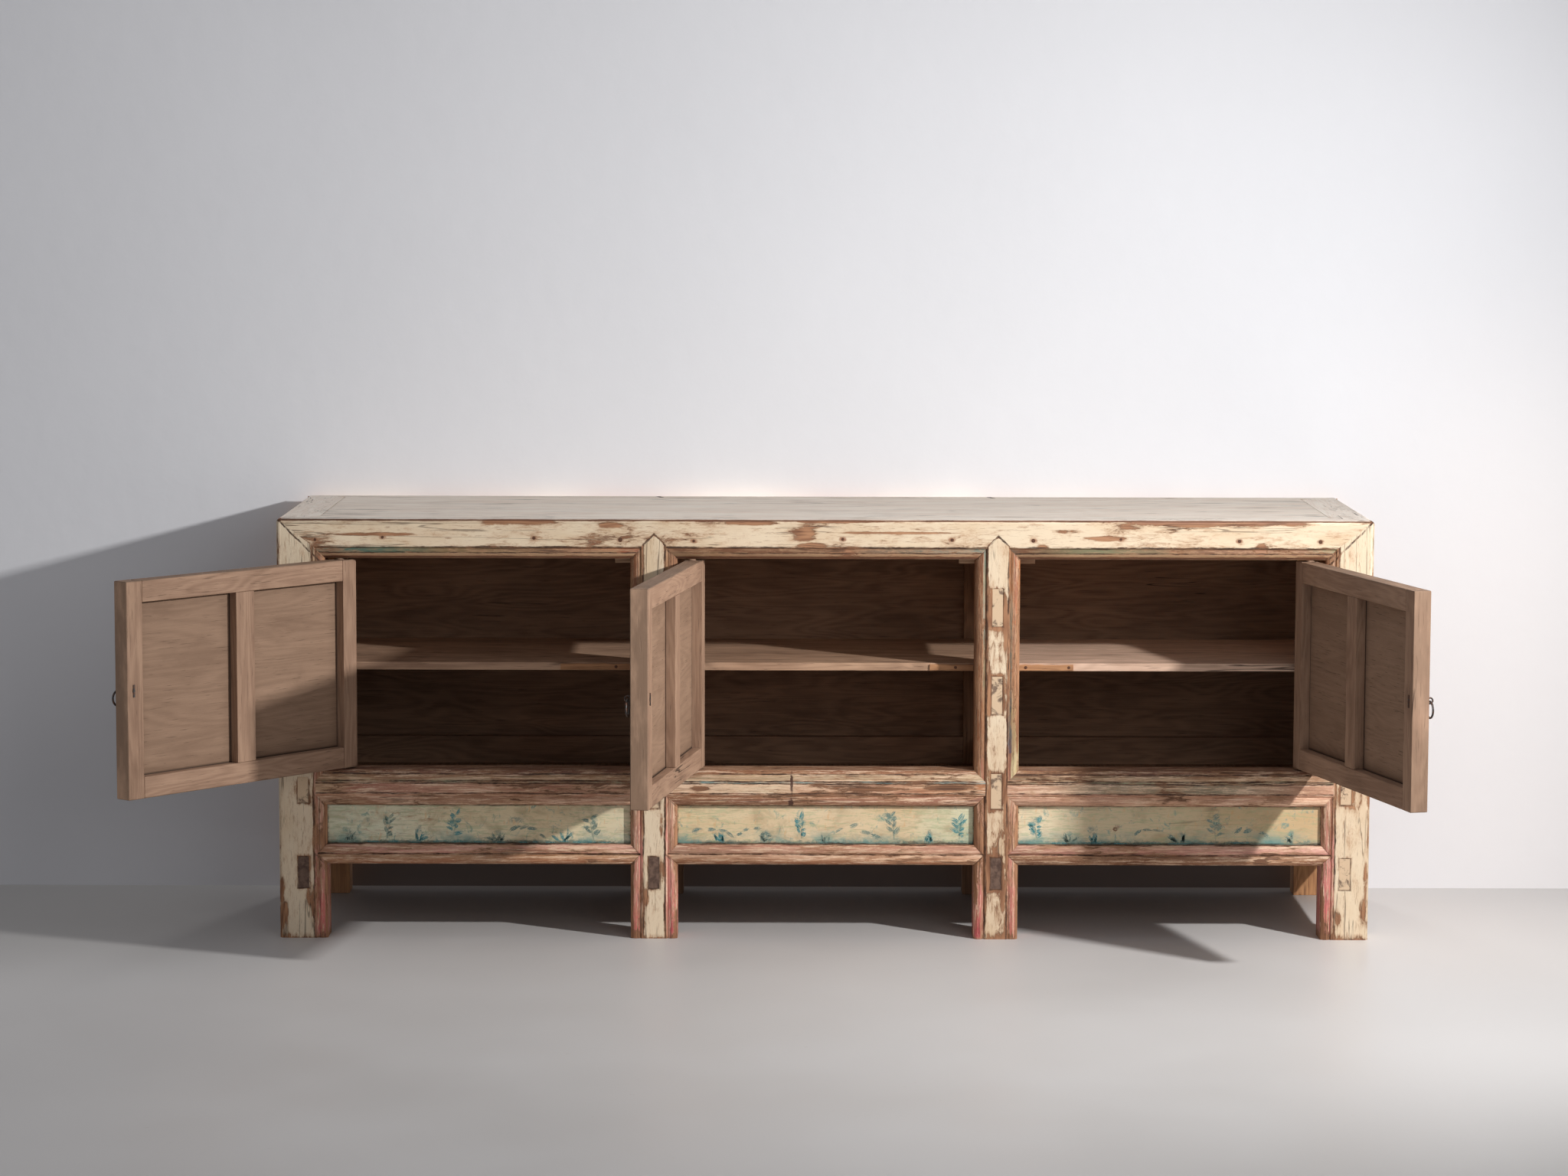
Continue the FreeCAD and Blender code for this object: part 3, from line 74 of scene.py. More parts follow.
class Finish:
    """A finish in the making: every call lays one more layer or mask into the material."""

    def __init__(self, name):
        self.material = bpy.data.materials.new(name)
        self.material.use_nodes = True
        self.tree = self.material.node_tree
        self.tree.nodes.clear()
        self.world = self.place = self.node("ShaderNodeTexCoord").outputs["Object"]
        self.waver = None

    def node(self, kind, sockets=(), **settings):
        """One node, with its settings, and its inputs given as values or as other nodes' outputs."""
        made = self.tree.nodes.new(kind)
        for name, value in settings.items():
            setattr(made, name, value)
        for name, value in dict(sockets).items():
            if isinstance(value, bpy.types.NodeSocket):
                self.tree.links.new(value, made.inputs[name])
            else:
                made.inputs[name].default_value = value
        return made

    def sum(self, work, a, b=0.0, c=0.0):
        """A bit of arithmetic on two or three values."""
        return self.node("ShaderNodeMath", {0: a, 1: b, 2: c}, operation=work).outputs[0]

    def times(self, a, b):
        """One value times another."""
        return self.sum("MULTIPLY", a, b)

    def plus(self, a, b):
        """One value and another."""
        return self.sum("ADD", a, b)

    def less(self, a, b):
        """One value less another."""
        return self.sum("SUBTRACT", a, b)

    def scaled(self, value, by, onto):
        """A value times this, added to another."""
        return self.sum("MULTIPLY_ADD", value, by, onto)

    def ease(self, value, low, high, start=0.0, end=1.0):
        """Rises from start to end while the value goes from low to high."""
        sockets = {"Value": value, "From Min": low, "From Max": high, "To Min": start, "To Max": end}
        return self.node("ShaderNodeMapRange", sockets, interpolation_type="SMOOTHSTEP").outputs[0]

    def axis(self, letter):
        """The place along x, y or z."""
        return self.node("ShaderNodeSeparateXYZ", {0: self.world}).outputs["xyz".index(letter)]

    def lie_along(self, letter):
        """Lays the grain along x, y or z: from here on, the first of the three places runs with the grain."""
        x, y, z = (self.axis(a) for a in "xyz")
        order = {"x": (x, y, z), "y": (y, x, z), "z": (z, x, y)}[letter]
        self.place = self.node("ShaderNodeCombineXYZ", dict(enumerate(order))).outputs[0]

    def spots(self, size, stretch=1.0, detail=4.0, rough=0.55, warp=0.0, seed=0.0):
        """Cloudy spots of about this size, drawn out along the grain by the stretch."""
        sockets = {"Vector": self.place, "Location": (seed, seed * 1.7, -seed),
                   "Scale": (1 / size / stretch, 1 / size, 1 / size)}
        spread = self.node("ShaderNodeMapping", sockets).outputs[0]
        sockets = {"Vector": spread, "Scale": 1.0, "Detail": detail, "Roughness": rough, "Distortion": warp}
        return self.node("ShaderNodeTexNoise", sockets).outputs[0]

    def cover(self, share, under, over, blend="MIX"):
        """The second colour laid over the first where the share says so."""
        sockets = {0: share, 6: under, 7: over}
        return self.node("ShaderNodeMix", sockets, data_type="RGBA", blend_type=blend).outputs[2]

    def run(self, value, stops, wobble, wobble_size, seed, stretch=1.0):
        """Colours that follow one another along a value, with a wandering border. A stop says where, and its
        colour: a tone, or the three numbers of one."""
        drift = self.less(self.spots(wobble_size, stretch, 3, 0.6, seed=seed), 0.5)
        value = self.scaled(drift, wobble, value)
        low, high = stops[0][0], stops[-1][0]
        share = self.sum("DIVIDE", self.less(value, low), high - low)
        node = self.node("ShaderNodeValToRGB", {0: share})
        ramp = node.color_ramp
        while len(ramp.elements) < len(stops):
            ramp.elements.new(0.5)
        for element, (at, *colour) in zip(ramp.elements, stops):
            element.position = (at - low) / (high - low)
            element.color = tone(*colour) if len(colour) == 3 else colour[0]
        return node.outputs[0]

    def near_by(self, value, line):
        """How far a value is from a line."""
        return self.sum("ABSOLUTE", self.less(value, line))

    def near(self, value, line, reach, full=0.0):
        """High at a line: full within this width of it, none at its reach. A worn line wanders a little."""
        if self.waver is None:
            self.waver = self.scaled(self.spots(0.014, 3, 4, 0.7, seed=31), 0.007, -0.0035)
        return self.ease(self.near_by(self.plus(value, self.waver), line), reach, full)

    def most(self, *masks):
        """The strongest of several masks."""
        out = masks[0]
        for mask in masks[1:]:
            out = self.sum("MAXIMUM", out, mask)
        return out

    def arris(self, box, reach):
        """High along the outer arrises of a squared timber that fills this box."""
        to_face = []
        for letter, low, high in zip("xyz", *box):
            off = self.near_by(self.axis(letter), (low + high) / 2)
            to_face.append(self.less((high - low) / 2, off))
        a, b, c = to_face
        lesser, greater = self.sum("MINIMUM", a, b), self.sum("MAXIMUM", a, b)
        second = self.sum("MAXIMUM", lesser, self.sum("MINIMUM", greater, c))
        return self.ease(second, reach, 0.0)

    def close(self, colour, roughness, height=None, depth=0.001, gloss=0.4):
        """Ends the finish: colour, roughness and the height of its surface in metres."""
        sockets = {"Base Color": colour, "Roughness": roughness, "Specular IOR Level": gloss}
        if height is not None:
            bump = {"Height": height, "Distance": depth, "Strength": 1.0}
            sockets["Normal"] = self.node("ShaderNodeBump", bump).outputs[0]
        shader = self.node("ShaderNodeBsdfPrincipled", sockets).outputs[0]
        self.node("ShaderNodeOutputMaterial", {"Surface": shader})
        return self.material


middle_x = 1.05


def face(name, corners, material):
    """A flat face through four corners, for the place round the part."""
    mesh = bpy.data.meshes.new(name)
    mesh.from_pydata(corners, [], [(0, 1, 2, 3)])
    made = bpy.data.objects.new(name, mesh)
    made.data.materials.append(material)
    bpy.context.scene.collection.objects.link(made)
    return made


def upright(name, y, left, right, top, material):
    """A flat face that stands on the floor and looks to the front."""
    return face(name, [(left, y, 0), (right, y, 0), (right, y, top), (left, y, top)], material)


# Cloudy grey screed, with painted shadow under the part, painted shade toward its left and front, and painted
# light behind it at its right.
screed = Finish("pale_screed")
cloud = screed.spots(0.9, detail=5)
ground = screed.cover(cloud, tone(204, 200, 197), tone(214, 211, 209))
grit = screed.ease(screed.spots(0.02, detail=3, seed=4), 0.68, 0.8, 0, 0.25)
ground = screed.cover(grit, ground, tone(180, 172, 164))
floor_x, floor_y = screed.axis("x"), screed.axis("y")
# Painted light: the floor is paler near the wall at the part's right.
painted_light_right = screed.times(screed.ease(floor_y, -0.9, 0.35), screed.ease(floor_x, 1.7, 2.2))
ground = screed.cover(painted_light_right, ground, tone(246, 241, 237))
# Painted shade: the floor is darker toward the left and toward the front at the right.
painted_shade_left = screed.times(screed.ease(floor_x, 0.1, -0.2, 0, 0.9), screed.ease(floor_y, -0.6, 0.2))
painted_shade_front = screed.times(screed.ease(floor_x, 1.2, 2.4, 0, 0.9), screed.ease(floor_y, -0.9, -2.0))
ground = screed.cover(screed.most(painted_shade_left, painted_shade_front), ground, tone(180, 177, 174))
# Painted shadow: the floor is darker under the part, most of all near the wall.
under = screed.times(screed.ease(floor_y, 0.10, 0.55), screed.ease(floor_y, 0.60, 0.56))
painted_shadow_width = screed.ease(screed.near_by(floor_x, middle_x), 1.14, 1.02, 0, 0.6)
under = screed.times(under, painted_shadow_width)
ground = screed.cover(under, ground, tone(92, 80, 72))
screed_material = screed.close(ground, screed.ease(cloud, 0.3, 0.7, 0.34, 0.5), gloss=0.3)
face("floor", [(-14, -14, 0), (16, -14, 0), (16, 14, 0), (-14, 14, 0)], screed_material)

wash = Finish("whitewash")
wash_tone = wash.cover(wash.spots(0.5, detail=5), tone(226, 226, 229), tone(233, 233, 236))
wall_x, wall_z = wash.axis("x"), wash.axis("z")
# Painted light: the wall is paler low down at the right.
wall_painted_light = wash.times(wash.ease(wall_x, 1.9, 2.6), wash.ease(wall_z, 1.5, 0.7))
wash_tone = wash.cover(wall_painted_light, wash_tone, tone(247, 244, 244))
# Painted shade: the wall is darker low down behind the part.
wall_painted_shade = wash.times(wash.ease(wash.near_by(wall_x, middle_x), 1.12, 1.04), wash.ease(wall_z, 0.5, 0.2))
wash_tone = wash.cover(wash.times(wall_painted_shade, 0.85), wash_tone, tone(112, 96, 86))
wash.close(wash_tone, 0.9, wash.spots(0.05, detail=3, rough=0.5), 0.001, 0.1)
shader = wash.tree.nodes["Principled BSDF"].outputs[0]
from_behind = wash.node("ShaderNodeNewGeometry").outputs["Backfacing"]
clear = wash.node("ShaderNodeBsdfTransparent").outputs[0]
both = wash.node("ShaderNodeMixShader", {0: from_behind, 1: shader, 2: clear}).outputs[0]
wash.tree.links.new(both, wash.tree.nodes["Material Output"].inputs["Surface"])
wall = upright("wall", 0.567, -9, 11, 5, wash.material)
wall.visible_shadow = wall.visible_diffuse = False

# The wall's foot is a low screen just behind the wall, seen by no camera, that thins out upward.
# It keeps the light of the back lamp off the floor in front.
foot_top = 0.38
veil = Finish("veil")
held = veil.ease(veil.axis("z"), foot_top, 0.15)
clear = veil.node("ShaderNodeBsdfTransparent").outputs[0]
dim = veil.node("ShaderNodeBsdfDiffuse").outputs[0]
both = veil.node("ShaderNodeMixShader", {0: held, 1: clear, 2: dim}).outputs[0]
veil.node("ShaderNodeOutputMaterial", {"Surface": both})
foot = upright("wall_foot", 0.574, -0.06, 2.16, foot_top, veil.material)
foot.visible_camera = foot.visible_diffuse = foot.visible_glossy = False


def lamp(name, at, towards, size, watts, spread=180):
    """A soft square lamp, with its spread in degrees."""
    made = bpy.data.objects.new(name, bpy.data.lights.new(name, "AREA"))
    made.data.size, made.data.energy = size, watts
    made.data.spread = math.radians(spread)
    made.location = at
    made.rotation_euler = (Vector(towards) - Vector(at)).to_track_quat("-Z", "Y").to_euler()
    bpy.context.scene.collection.objects.link(made)


lamp("main_lamp", (3.52, -1.86, 1.78), (0.2, 0.1, 0.55), 0.12, 46, 110)
lamp("front_lamp", (3.5, -7.0, 3.0), (1.2, 0, 0.5), 3.0, 44)
lamp("top_lamp", (1.0, 0.6, 4.5), (1.0, 0.2, 0.5), 2.5, 10)
# The back lamp stands low behind the part, for views of its back.
lamp("back_lamp", (middle_x, 3.7, 0.3), (middle_x, 0.5, 1.1), 0.4, 40, 76)

# The sky gives less light than it shows as a backdrop, in a mirror or through something clear.
sky_light, sky_seen = 0.335, 0.85
sky = bpy.data.worlds.new("sky")
sky.use_nodes = True
bpy.context.scene.world = sky
backdrop = sky.node_tree.nodes["Background"]
backdrop.inputs["Color"].default_value = tone(214, 216, 222)
rays = sky.node_tree.nodes.new("ShaderNodeLightPath").outputs
seen = rays["Is Camera Ray"]
for kind in ("Is Glossy Ray", "Is Transmission Ray"):
    either = sky.node_tree.nodes.new("ShaderNodeMath")
    either.operation = "MAXIMUM"
    sky.node_tree.links.new(seen, either.inputs[0])
    sky.node_tree.links.new(rays[kind], either.inputs[1])
    seen = either.outputs[0]
level = sky.node_tree.nodes.new("ShaderNodeMapRange")
level.inputs["To Min"].default_value, level.inputs["To Max"].default_value = sky_light, sky_seen
sky.node_tree.links.new(seen, level.inputs["Value"])
sky.node_tree.links.new(level.outputs[0], backdrop.inputs["Strength"])


# The posts are square timbers of elm that stand from the floor to the top. The front ones were painted cream
# over the wood long ago; the paint has flaked, and the beads beside the openings had other colours.
def shade(colour, share):
    """The same colour with only this share of its light."""
    return tuple(c * share for c in colour[:3]) + (1,)


def timber(coat, pale, dark, figure=0.05, seed=0.0):
    """Sawn timber: the wavy figure of the year rings, with fibres and pores along the grain."""
    hill = coat.spots(figure, 7, 1.5, 0.4, 0.3, seed=seed)
    rings = coat.sum("SINE", coat.times(hill, 75))
    fibre = coat.spots(0.0016, 60, 3, 0.6, seed=seed + 1)
    cloud = coat.spots(0.05, 6, 4, 0.6, 0.4, seed=seed + 3)
    share = coat.scaled(rings, 0.09, coat.times(fibre, 0.6))
    share = coat.plus(share, coat.scaled(cloud, 0.9, -0.26))
    colour = coat.cover(coat.ease(share, 0.15, 0.85), dark, pale)
    pores = coat.ease(coat.spots(0.0022, 22, 2, 0.5, seed=seed + 7), 0.64, 0.72)
    colour = coat.cover(coat.times(pores, 0.5), colour, shade(dark, 0.35))
    height = coat.less(coat.times(share, 0.4), coat.times(pores, 0.5))
    return colour, height


def cracks(coat, share, size, seed):
    """Thin cracks that run with the grain."""
    wander = coat.spots(size, 26, 3, 0.6, 0.1, seed=seed)
    limit = 0.72 - share * 0.45
    kept = coat.ease(coat.spots(size * 2.2, 2.5, 2, 0.5, seed=seed + 5), limit, limit + 0.06)
    return coat.times(coat.ease(coat.near_by(wander, 0.5), 0.012, 0.003), kept)


def marks(coat, places):
    """Worn places at known spots: each is x, z and half its length and height, in millimetres."""
    masks = []
    for x, z, half_x, half_z in places:
        sockets = {0: coat.world, 1: (x * mm, 0, z * mm)}
        off = coat.node("ShaderNodeVectorMath", sockets, operation="SUBTRACT").outputs[0]
        sockets = {0: off, 1: (1 / half_x / mm, 0, 1 / half_z / mm)}
        part = coat.node("ShaderNodeVectorMath", sockets, operation="MULTIPLY").outputs[0]
        far = coat.node("ShaderNodeVectorMath", {0: part}, operation="LENGTH").outputs["Value"]
        masks.append(coat.ease(far, 1.5, 0.3))
    return coat.most(*masks)


def flaked(coat, wood, relief, paint, joints, loss, seed, flake=0.012, stretch=3.5, rubbed=None, wear=1.0):
    """Paint on wood: gone over this share of it, in flakes that follow the grain, and wherever it was rubbed,
    with dirt in the joints. Splits, scratches and dust are as strong as the wear says."""
    patch = coat.spots(flake * 8, 2.4, 3, 0.6, 0.3, seed=seed)
    chip = coat.spots(flake, stretch, 7, 0.78, 0.5, seed=seed + 2)
    gone = coat.scaled(patch, 0.75, coat.times(chip, 0.8))
    gone = coat.scaled(joints, 0.08, gone)
    if rubbed is not None:
        gone = coat.scaled(rubbed, 0.22, gone)
    limit = coat.scaled(loss, -0.342, 0.946)
    over = coat.less(gone, limit)
    bare = coat.ease(over, -0.025, 0.045)
    lip = coat.ease(over, -0.12, 0.0)
    split = coat.times(cracks(coat, 0.5, 0.03, seed + 11), wear)
    dusk = coat.spots(0.07, 2.5, 4, 0.6, seed=seed + 4)
    paint = coat.cover(coat.ease(dusk, 0.4, 0.75, 0, 0.5), paint, (0.80, 0.68, 0.54, 1), "MULTIPLY")
    dust = coat.ease(coat.spots(0.018, 2.5, 6, 0.8, seed=seed + 6), 0.50, 0.72, 0, 0.75 * wear)
    paint = coat.cover(dust, paint, tone(186, 146, 112))
    scratch = coat.ease(coat.spots(0.0028, 12, 4, 0.7, seed=seed + 16), 0.57, 0.67, 0, 0.6 * wear)
    paint = coat.cover(scratch, paint, tone(150, 108, 80))
    paint = coat.cover(coat.times(lip, 0.6), paint, tone(180, 138, 104))
    colour = coat.cover(bare, paint, wood)
    grime = coat.ease(coat.spots(0.012, 3, 4, 0.65, seed=seed + 12), 0.36, 0.62, 0.15, 0.95)
    dark = coat.most(coat.times(split, 0.55), coat.times(joints, grime))
    colour = coat.cover(dark, colour, tone(66, 44, 31))
    film = coat.times(coat.less(1.0, bare), 0.8)
    ripple = coat.times(coat.spots(0.004, 2.5, 3, 0.6, seed=seed + 8), 0.35)
    height = coat.plus(coat.plus(film, ripple), coat.times(relief, 0.6))
    return colour, coat.less(height, coat.times(dark, 0.9)), bare


def dress(node, material, round_over=1.2):
    """Gives a piece of the frame its finish, and arrises worn round by this many millimetres."""
    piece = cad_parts[node]
    for slot in piece.material_slots:
        slot.material = material
    piece.modifiers.new("whole", "WELD").merge_threshold = 0.00002
    worn = piece.modifiers.new("worn_arris", "BEVEL")
    worn.width, worn.segments, worn.angle_limit = round_over * mm, 2, math.radians(50)
    worn.harden_normals = True


cream, buff = tone(234, 218, 190), tone(218, 192, 162)
bare_pale, bare_dark = tone(184, 136, 100), tone(120, 78, 54)
rust, rose, teal = tone(184, 128, 88), tone(204, 128, 120), tone(104, 146, 146)
tan, plum, sage = tone(194, 152, 116), tone(172, 118, 98), tone(160, 164, 132)


# Across a front post, from its middle: where its bead begins, and the groove in the bead.
quirk, groove = 0.0217, 0.0330
# The mitres of the rails on the bead: the level where each would meet the post's middle.
rail_mitres = (0.814, 0.3145, 0.195)
# The mitres at the corners of the top frame, and the points of the inner posts with the middle of each.
left_mitre, right_mitre = 0.8015, -1.2975
second_post, third_post = (0.7065, 0.8195), (1.395, 0.817)
outer_bead = [(0.0, 190, 82, 90), (0.06, 204, 108, 104), (0.14, 200, 130, 118),
              (0.3, 190, 146, 120), (0.36, 168, 112, 78), (0.55, 158, 106, 74),
              (0.8, 166, 112, 78)]


def front_post(node, name, centre, head, left_bead, right_bead, tenons, seed, loss, worn_places,
               right_outer=outer_bead):
    """A front post: a cream middle, with beads in other colours on the sides that face an opening."""
    coat = Finish(name)
    x, z = coat.axis("x"), coat.axis("z")
    off = coat.less(x, centre)
    aside = coat.sum("ABSOLUTE", off)
    coat.lie_along("z")
    wood, relief = timber(coat, bare_pale, bare_dark, seed=seed)
    paint = coat.cover(coat.spots(0.06, 3, 4, seed=seed), cream, buff)
    lost = loss
    rubbed = [coat.arris(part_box(node), 0.010), coat.ease(z, 0.022, 0.002, 0, 0.7),
              coat.times(marks(coat, worn_places), 1.3)]
    if left_bead and right_bead:
        tip = coat.near(coat.plus(aside, z), head, 0.0035, 0.0012)
        joints = [coat.times(tip, coat.ease(aside, 0.0235, 0.0215))]
    else:
        slant = coat.plus(x, z) if head > 0 else coat.less(z, x)
        joints = [coat.near(slant, head, 0.0035, 0.0012)]
    for outward, stops, outer in ((-1, left_bead, outer_bead), (1, right_bead, right_outer)):
        if not stops:
            continue
        far = coat.times(off, outward)
        bead = coat.run(z, stops, 0.12, 0.05, seed, 2)
        round_part = coat.run(z, outer, 0.15, 0.05, seed + 1, 2)
        wander = coat.scaled(coat.spots(0.012, 6, 4, 0.6, seed=seed + 14), 0.012, far)
        bead = coat.cover(coat.ease(wander, groove + 0.0015, groove + 0.0035), bead, round_part)
        upper = coat.ease(z, 0.30, 0.42)
        worn = coat.ease(z, 0.30, 0.42, 0.75, 0.4)
        brown = coat.ease(coat.spots(0.020, 7, 5, 0.7, 0.5, seed=seed + 18), 0.52, 0.58)
        bead = coat.cover(coat.times(brown, worn), bead, tone(140, 92, 66))
        streak = coat.ease(coat.spots(0.0045, 18, 5, 0.8, seed=seed + 9), 0.53, 0.57)
        bead = coat.cover(coat.times(streak, worn), bead, tone(232, 204, 176))
        bead = coat.cover(upper, bead, (0.66, 0.62, 0.56, 1), "MULTIPLY")
        on_bead = coat.ease(far, quirk - 0.0005, quirk + 0.0005)
        rubbed.append(coat.times(coat.near(far, quirk - 0.0005, 0.005, 0.001), 0.6))
        paint = coat.cover(on_bead, paint, bead)
        lost = coat.scaled(on_bead, 0.24 - loss, lost)
        joints.append(coat.near(far, quirk, 0.0028, 0.0008))
        joints.append(coat.times(coat.near(far, groove, 0.0018, 0.0004), 0.5))
        for level in rail_mitres:
            beside = coat.near(z, level - groove, 0.0135, 0.011)
            span = coat.times(coat.times(on_bead, beside), 0.6)
            mitre = coat.near(coat.plus(z, far), level, 0.003, 0.001)
            joints.append(coat.times(mitre, span))
    for middle, low, high in tenons:
        out_x = coat.less(coat.near_by(x, middle * mm), 0.011)
        out_z = coat.less(coat.near_by(z, (low + high) / 2 * mm), (high - low) / 2 * mm)
        rim = coat.sum("MAXIMUM", out_x, out_z)
        depth = 0.75 if low < 200 else 0.5
        joints.append(coat.ease(coat.near_by(rim, 0.0005), 0.003, 0.001, 0, depth))
        rubbed.append(coat.ease(rim, 0.012, 0.001, 0, 0.7))
    colour, height, bare = flaked(coat, wood, relief, paint, coat.most(*joints), lost, seed,
                                  rubbed=coat.most(*rubbed))
    dress(node, coat.close(colour, coat.ease(bare, 0, 1, 0.55, 0.8), height, 0.0009), 3)


leg_up = [(0.0, plum), (0.19, rose), (0.24, plum), (0.36, plum)]
front_post("post_front_left", "cream_post_left", 0.0, left_mitre, None,
           leg_up + [(0.5, 152, 132, 106), (0.8, 140, 122, 98)],
           [(1.0, 275, 320), (1.0, 102.5, 165)], 1.0, 0.04,
           [(-44, 95, 9, 32), (-40, 50, 10, 30), (14, 88, 10, 30), (20, 60, 5, 22), (-46, 560, 3, 60)])
front_post("post_front_inner_left", "cream_post_second", *second_post,
           leg_up + [(0.5, 168, 134, 106), (0.8, 178, 144, 114)],
           leg_up + [(0.5, rust), (0.8, tan)], [(706.5, 101.5, 166.5), (706.5, 265.5, 337.5)], 5.0, 0.10,
           [(722, 140, 8, 30), (690, 85, 6, 20), (721, 230, 5, 30)])
front_post("post_front_inner_right", "cream_post_third", *third_post,
           leg_up + [(0.45, rust), (0.55, sage), (0.64, teal), (0.72, sage), (0.8, teal)],
           leg_up + [(0.36, 104, 92, 120), (0.42, 72, 124, 134), (0.48, 108, 104, 100),
                     (0.56, 64, 126, 134), (0.66, 120, 112, 96), (0.72, rust), (0.8, rust)],
           [(1395, 101.5, 166.5), (1395, 265.5, 337.5), (1395, 457.5, 534.5), (1395, 634.5, 709)], 9.0, 0.20,
           [(1413, 300, 5, 60), (1379, 500, 5, 60), (1412, 640, 5, 50), (1410, 95, 6, 40)],
           [(0.0, 204, 108, 104), (0.14, 200, 130, 118), (0.3, 196, 150, 124),
            (0.35, 208, 194, 146), (0.44, 206, 190, 140), (0.5, 196, 124, 76),
            (0.8, 190, 116, 68)])
front_post("post_front_right", "cream_post_right", 2.099, right_mitre, leg_up + [(0.5, tan), (0.8, rust)], None,
           [(2098, 275, 325), (2098, 102.5, 165)], 13.0, 0.06,
           [(2140, 120, 6, 60), (2135, 60, 9, 40), (2086, 50, 8, 22)])


def bare_finish(name, grain, pale, dark, seed, figure=0.05, turn=None, crack=0.4, box=None, lines=(),
                edges=None, painted_above=None, grime=0.45, painted_light_end=False):
    """Bare timber, gone dull and dirty with age. The lines are joints: an axis and where they lie on it.
    The edges are those of a door, in x and z, gone dark from hands; with painted_light_end their end faces are
    painted paler, as painted light. Tenon ends are painted above a level."""
    coat = Finish(name)
    if turn:
        pivot, angle = turn
        back = Matrix.Rotation(-angle, 3, "Z")
        sockets = {"Vector": coat.world, "Rotation": (0, 0, -angle), "Location": -(back @ Vector(pivot))}
        coat.world = coat.node("ShaderNodeMapping", sockets).outputs[0]
    coat.lie_along(grain)
    colour, height = timber(coat, pale, dark, figure, seed=seed)
    dirt = coat.ease(coat.spots(0.08, 2.5, 5, 0.65, 0.5, seed=seed + 1), 0.45, 0.8, 0, grime)
    colour = coat.cover(dirt, colour, tone(104, 78, 60))
    dark_lines = coat.times(cracks(coat, crack, 0.04, seed + 2), 0.8)
    for axis, low, high in lines:
        edge = coat.near_by(coat.near_by(coat.axis(axis), (low + high) / 2), (high - low) / 2)
        dark_lines = coat.most(dark_lines, coat.ease(edge, 0.005, 0.0, 0, 0.8))
        haze = coat.times(coat.ease(edge, 0.035, 0.0, 0, 0.6),
                          coat.spots(0.03, 1.5, 4, 0.6, seed=seed + 9))
        colour = coat.cover(haze, colour, tone(112, 88, 70))
    if edges:
        rims = []
        for axis, (low, high) in zip("xz", edges):
            inward = coat.less((high - low) / 2, coat.near_by(coat.axis(axis), (low + high) / 2))
            rims.append(coat.ease(inward, 0.0045, 0.0008))
            # Painted light: the door's end faces are painted paler, as if lit.
            if axis == "x" and painted_light_end:
                colour = coat.cover(coat.ease(inward, 0.0005, 0.0002, 0, 0.7), colour, tone(216, 176, 146))
        dark_rim = coat.times(coat.most(*rims), coat.spots(0.04, 3, 4, 0.6, seed=seed + 8))
        colour = coat.cover(coat.ease(dark_rim, 0.25, 0.6, 0, 0.6), colour, tone(112, 90, 72))
    if box:
        worn = coat.times(coat.arris(box, 0.006), coat.spots(0.03, 4, 3, seed=seed + 6))
        colour = coat.cover(coat.times(worn, 0.9), colour, shade(dark, 0.7))
    if painted_above is not None:
        end_grain = coat.ease(coat.axis("y"), -0.0295, -0.0305)
        mottle = coat.ease(coat.spots(0.015, 1, 4, 0.6, seed=seed + 4), 0.35, 0.65)
        colour = coat.cover(end_grain, colour, coat.cover(mottle, tone(116, 92, 78), tone(78, 58, 49)))
        above = coat.ease(coat.axis("z"), painted_above, painted_above + 0.002)
        patchy = coat.ease(coat.spots(0.024, 1, 5, 0.7, 0.5, seed=seed), 0.38, 0.5, 0.15, 0.95)
        kept = coat.times(coat.times(end_grain, above), patchy)
        colour = coat.cover(kept, colour, tone(214, 186, 154))
    colour = coat.cover(dark_lines, colour, tone(44, 30, 22))
    height = coat.less(height, dark_lines)
    return coat.close(colour, 0.72, height, 0.0006, 0.3)


# The outer back posts carry painted light: their wood is painted paler than the inner back posts, as if lit.
paler_outer_back_post = bare_finish("bare_back_post", "z", tone(216, 162, 112), tone(166, 116, 80), 21)
inner_back_post = bare_finish("bare_inner_back_post", "z", tone(166, 128, 98), tone(118, 86, 64), 25)
for node, wood in (("post_back_left", paler_outer_back_post), ("post_back_inner_left", inner_back_post),
                        ("post_back_inner_right", inner_back_post), ("post_back_right", paler_outer_back_post)):
    dress(node, wood)


# The top frame is four rails, mitred at the corners over the corner posts. Its front is painted cream,
# with a bead in other colours along the openings; its upper face is worn down to grey wood, painted paler as a
# sheen.
# Pale weathered wood, painted paler still as a sheen of light grazing the top.
weathered_and_sheen = tone(255, 244, 230), tone(240, 220, 202)
bead_top = 0.7928


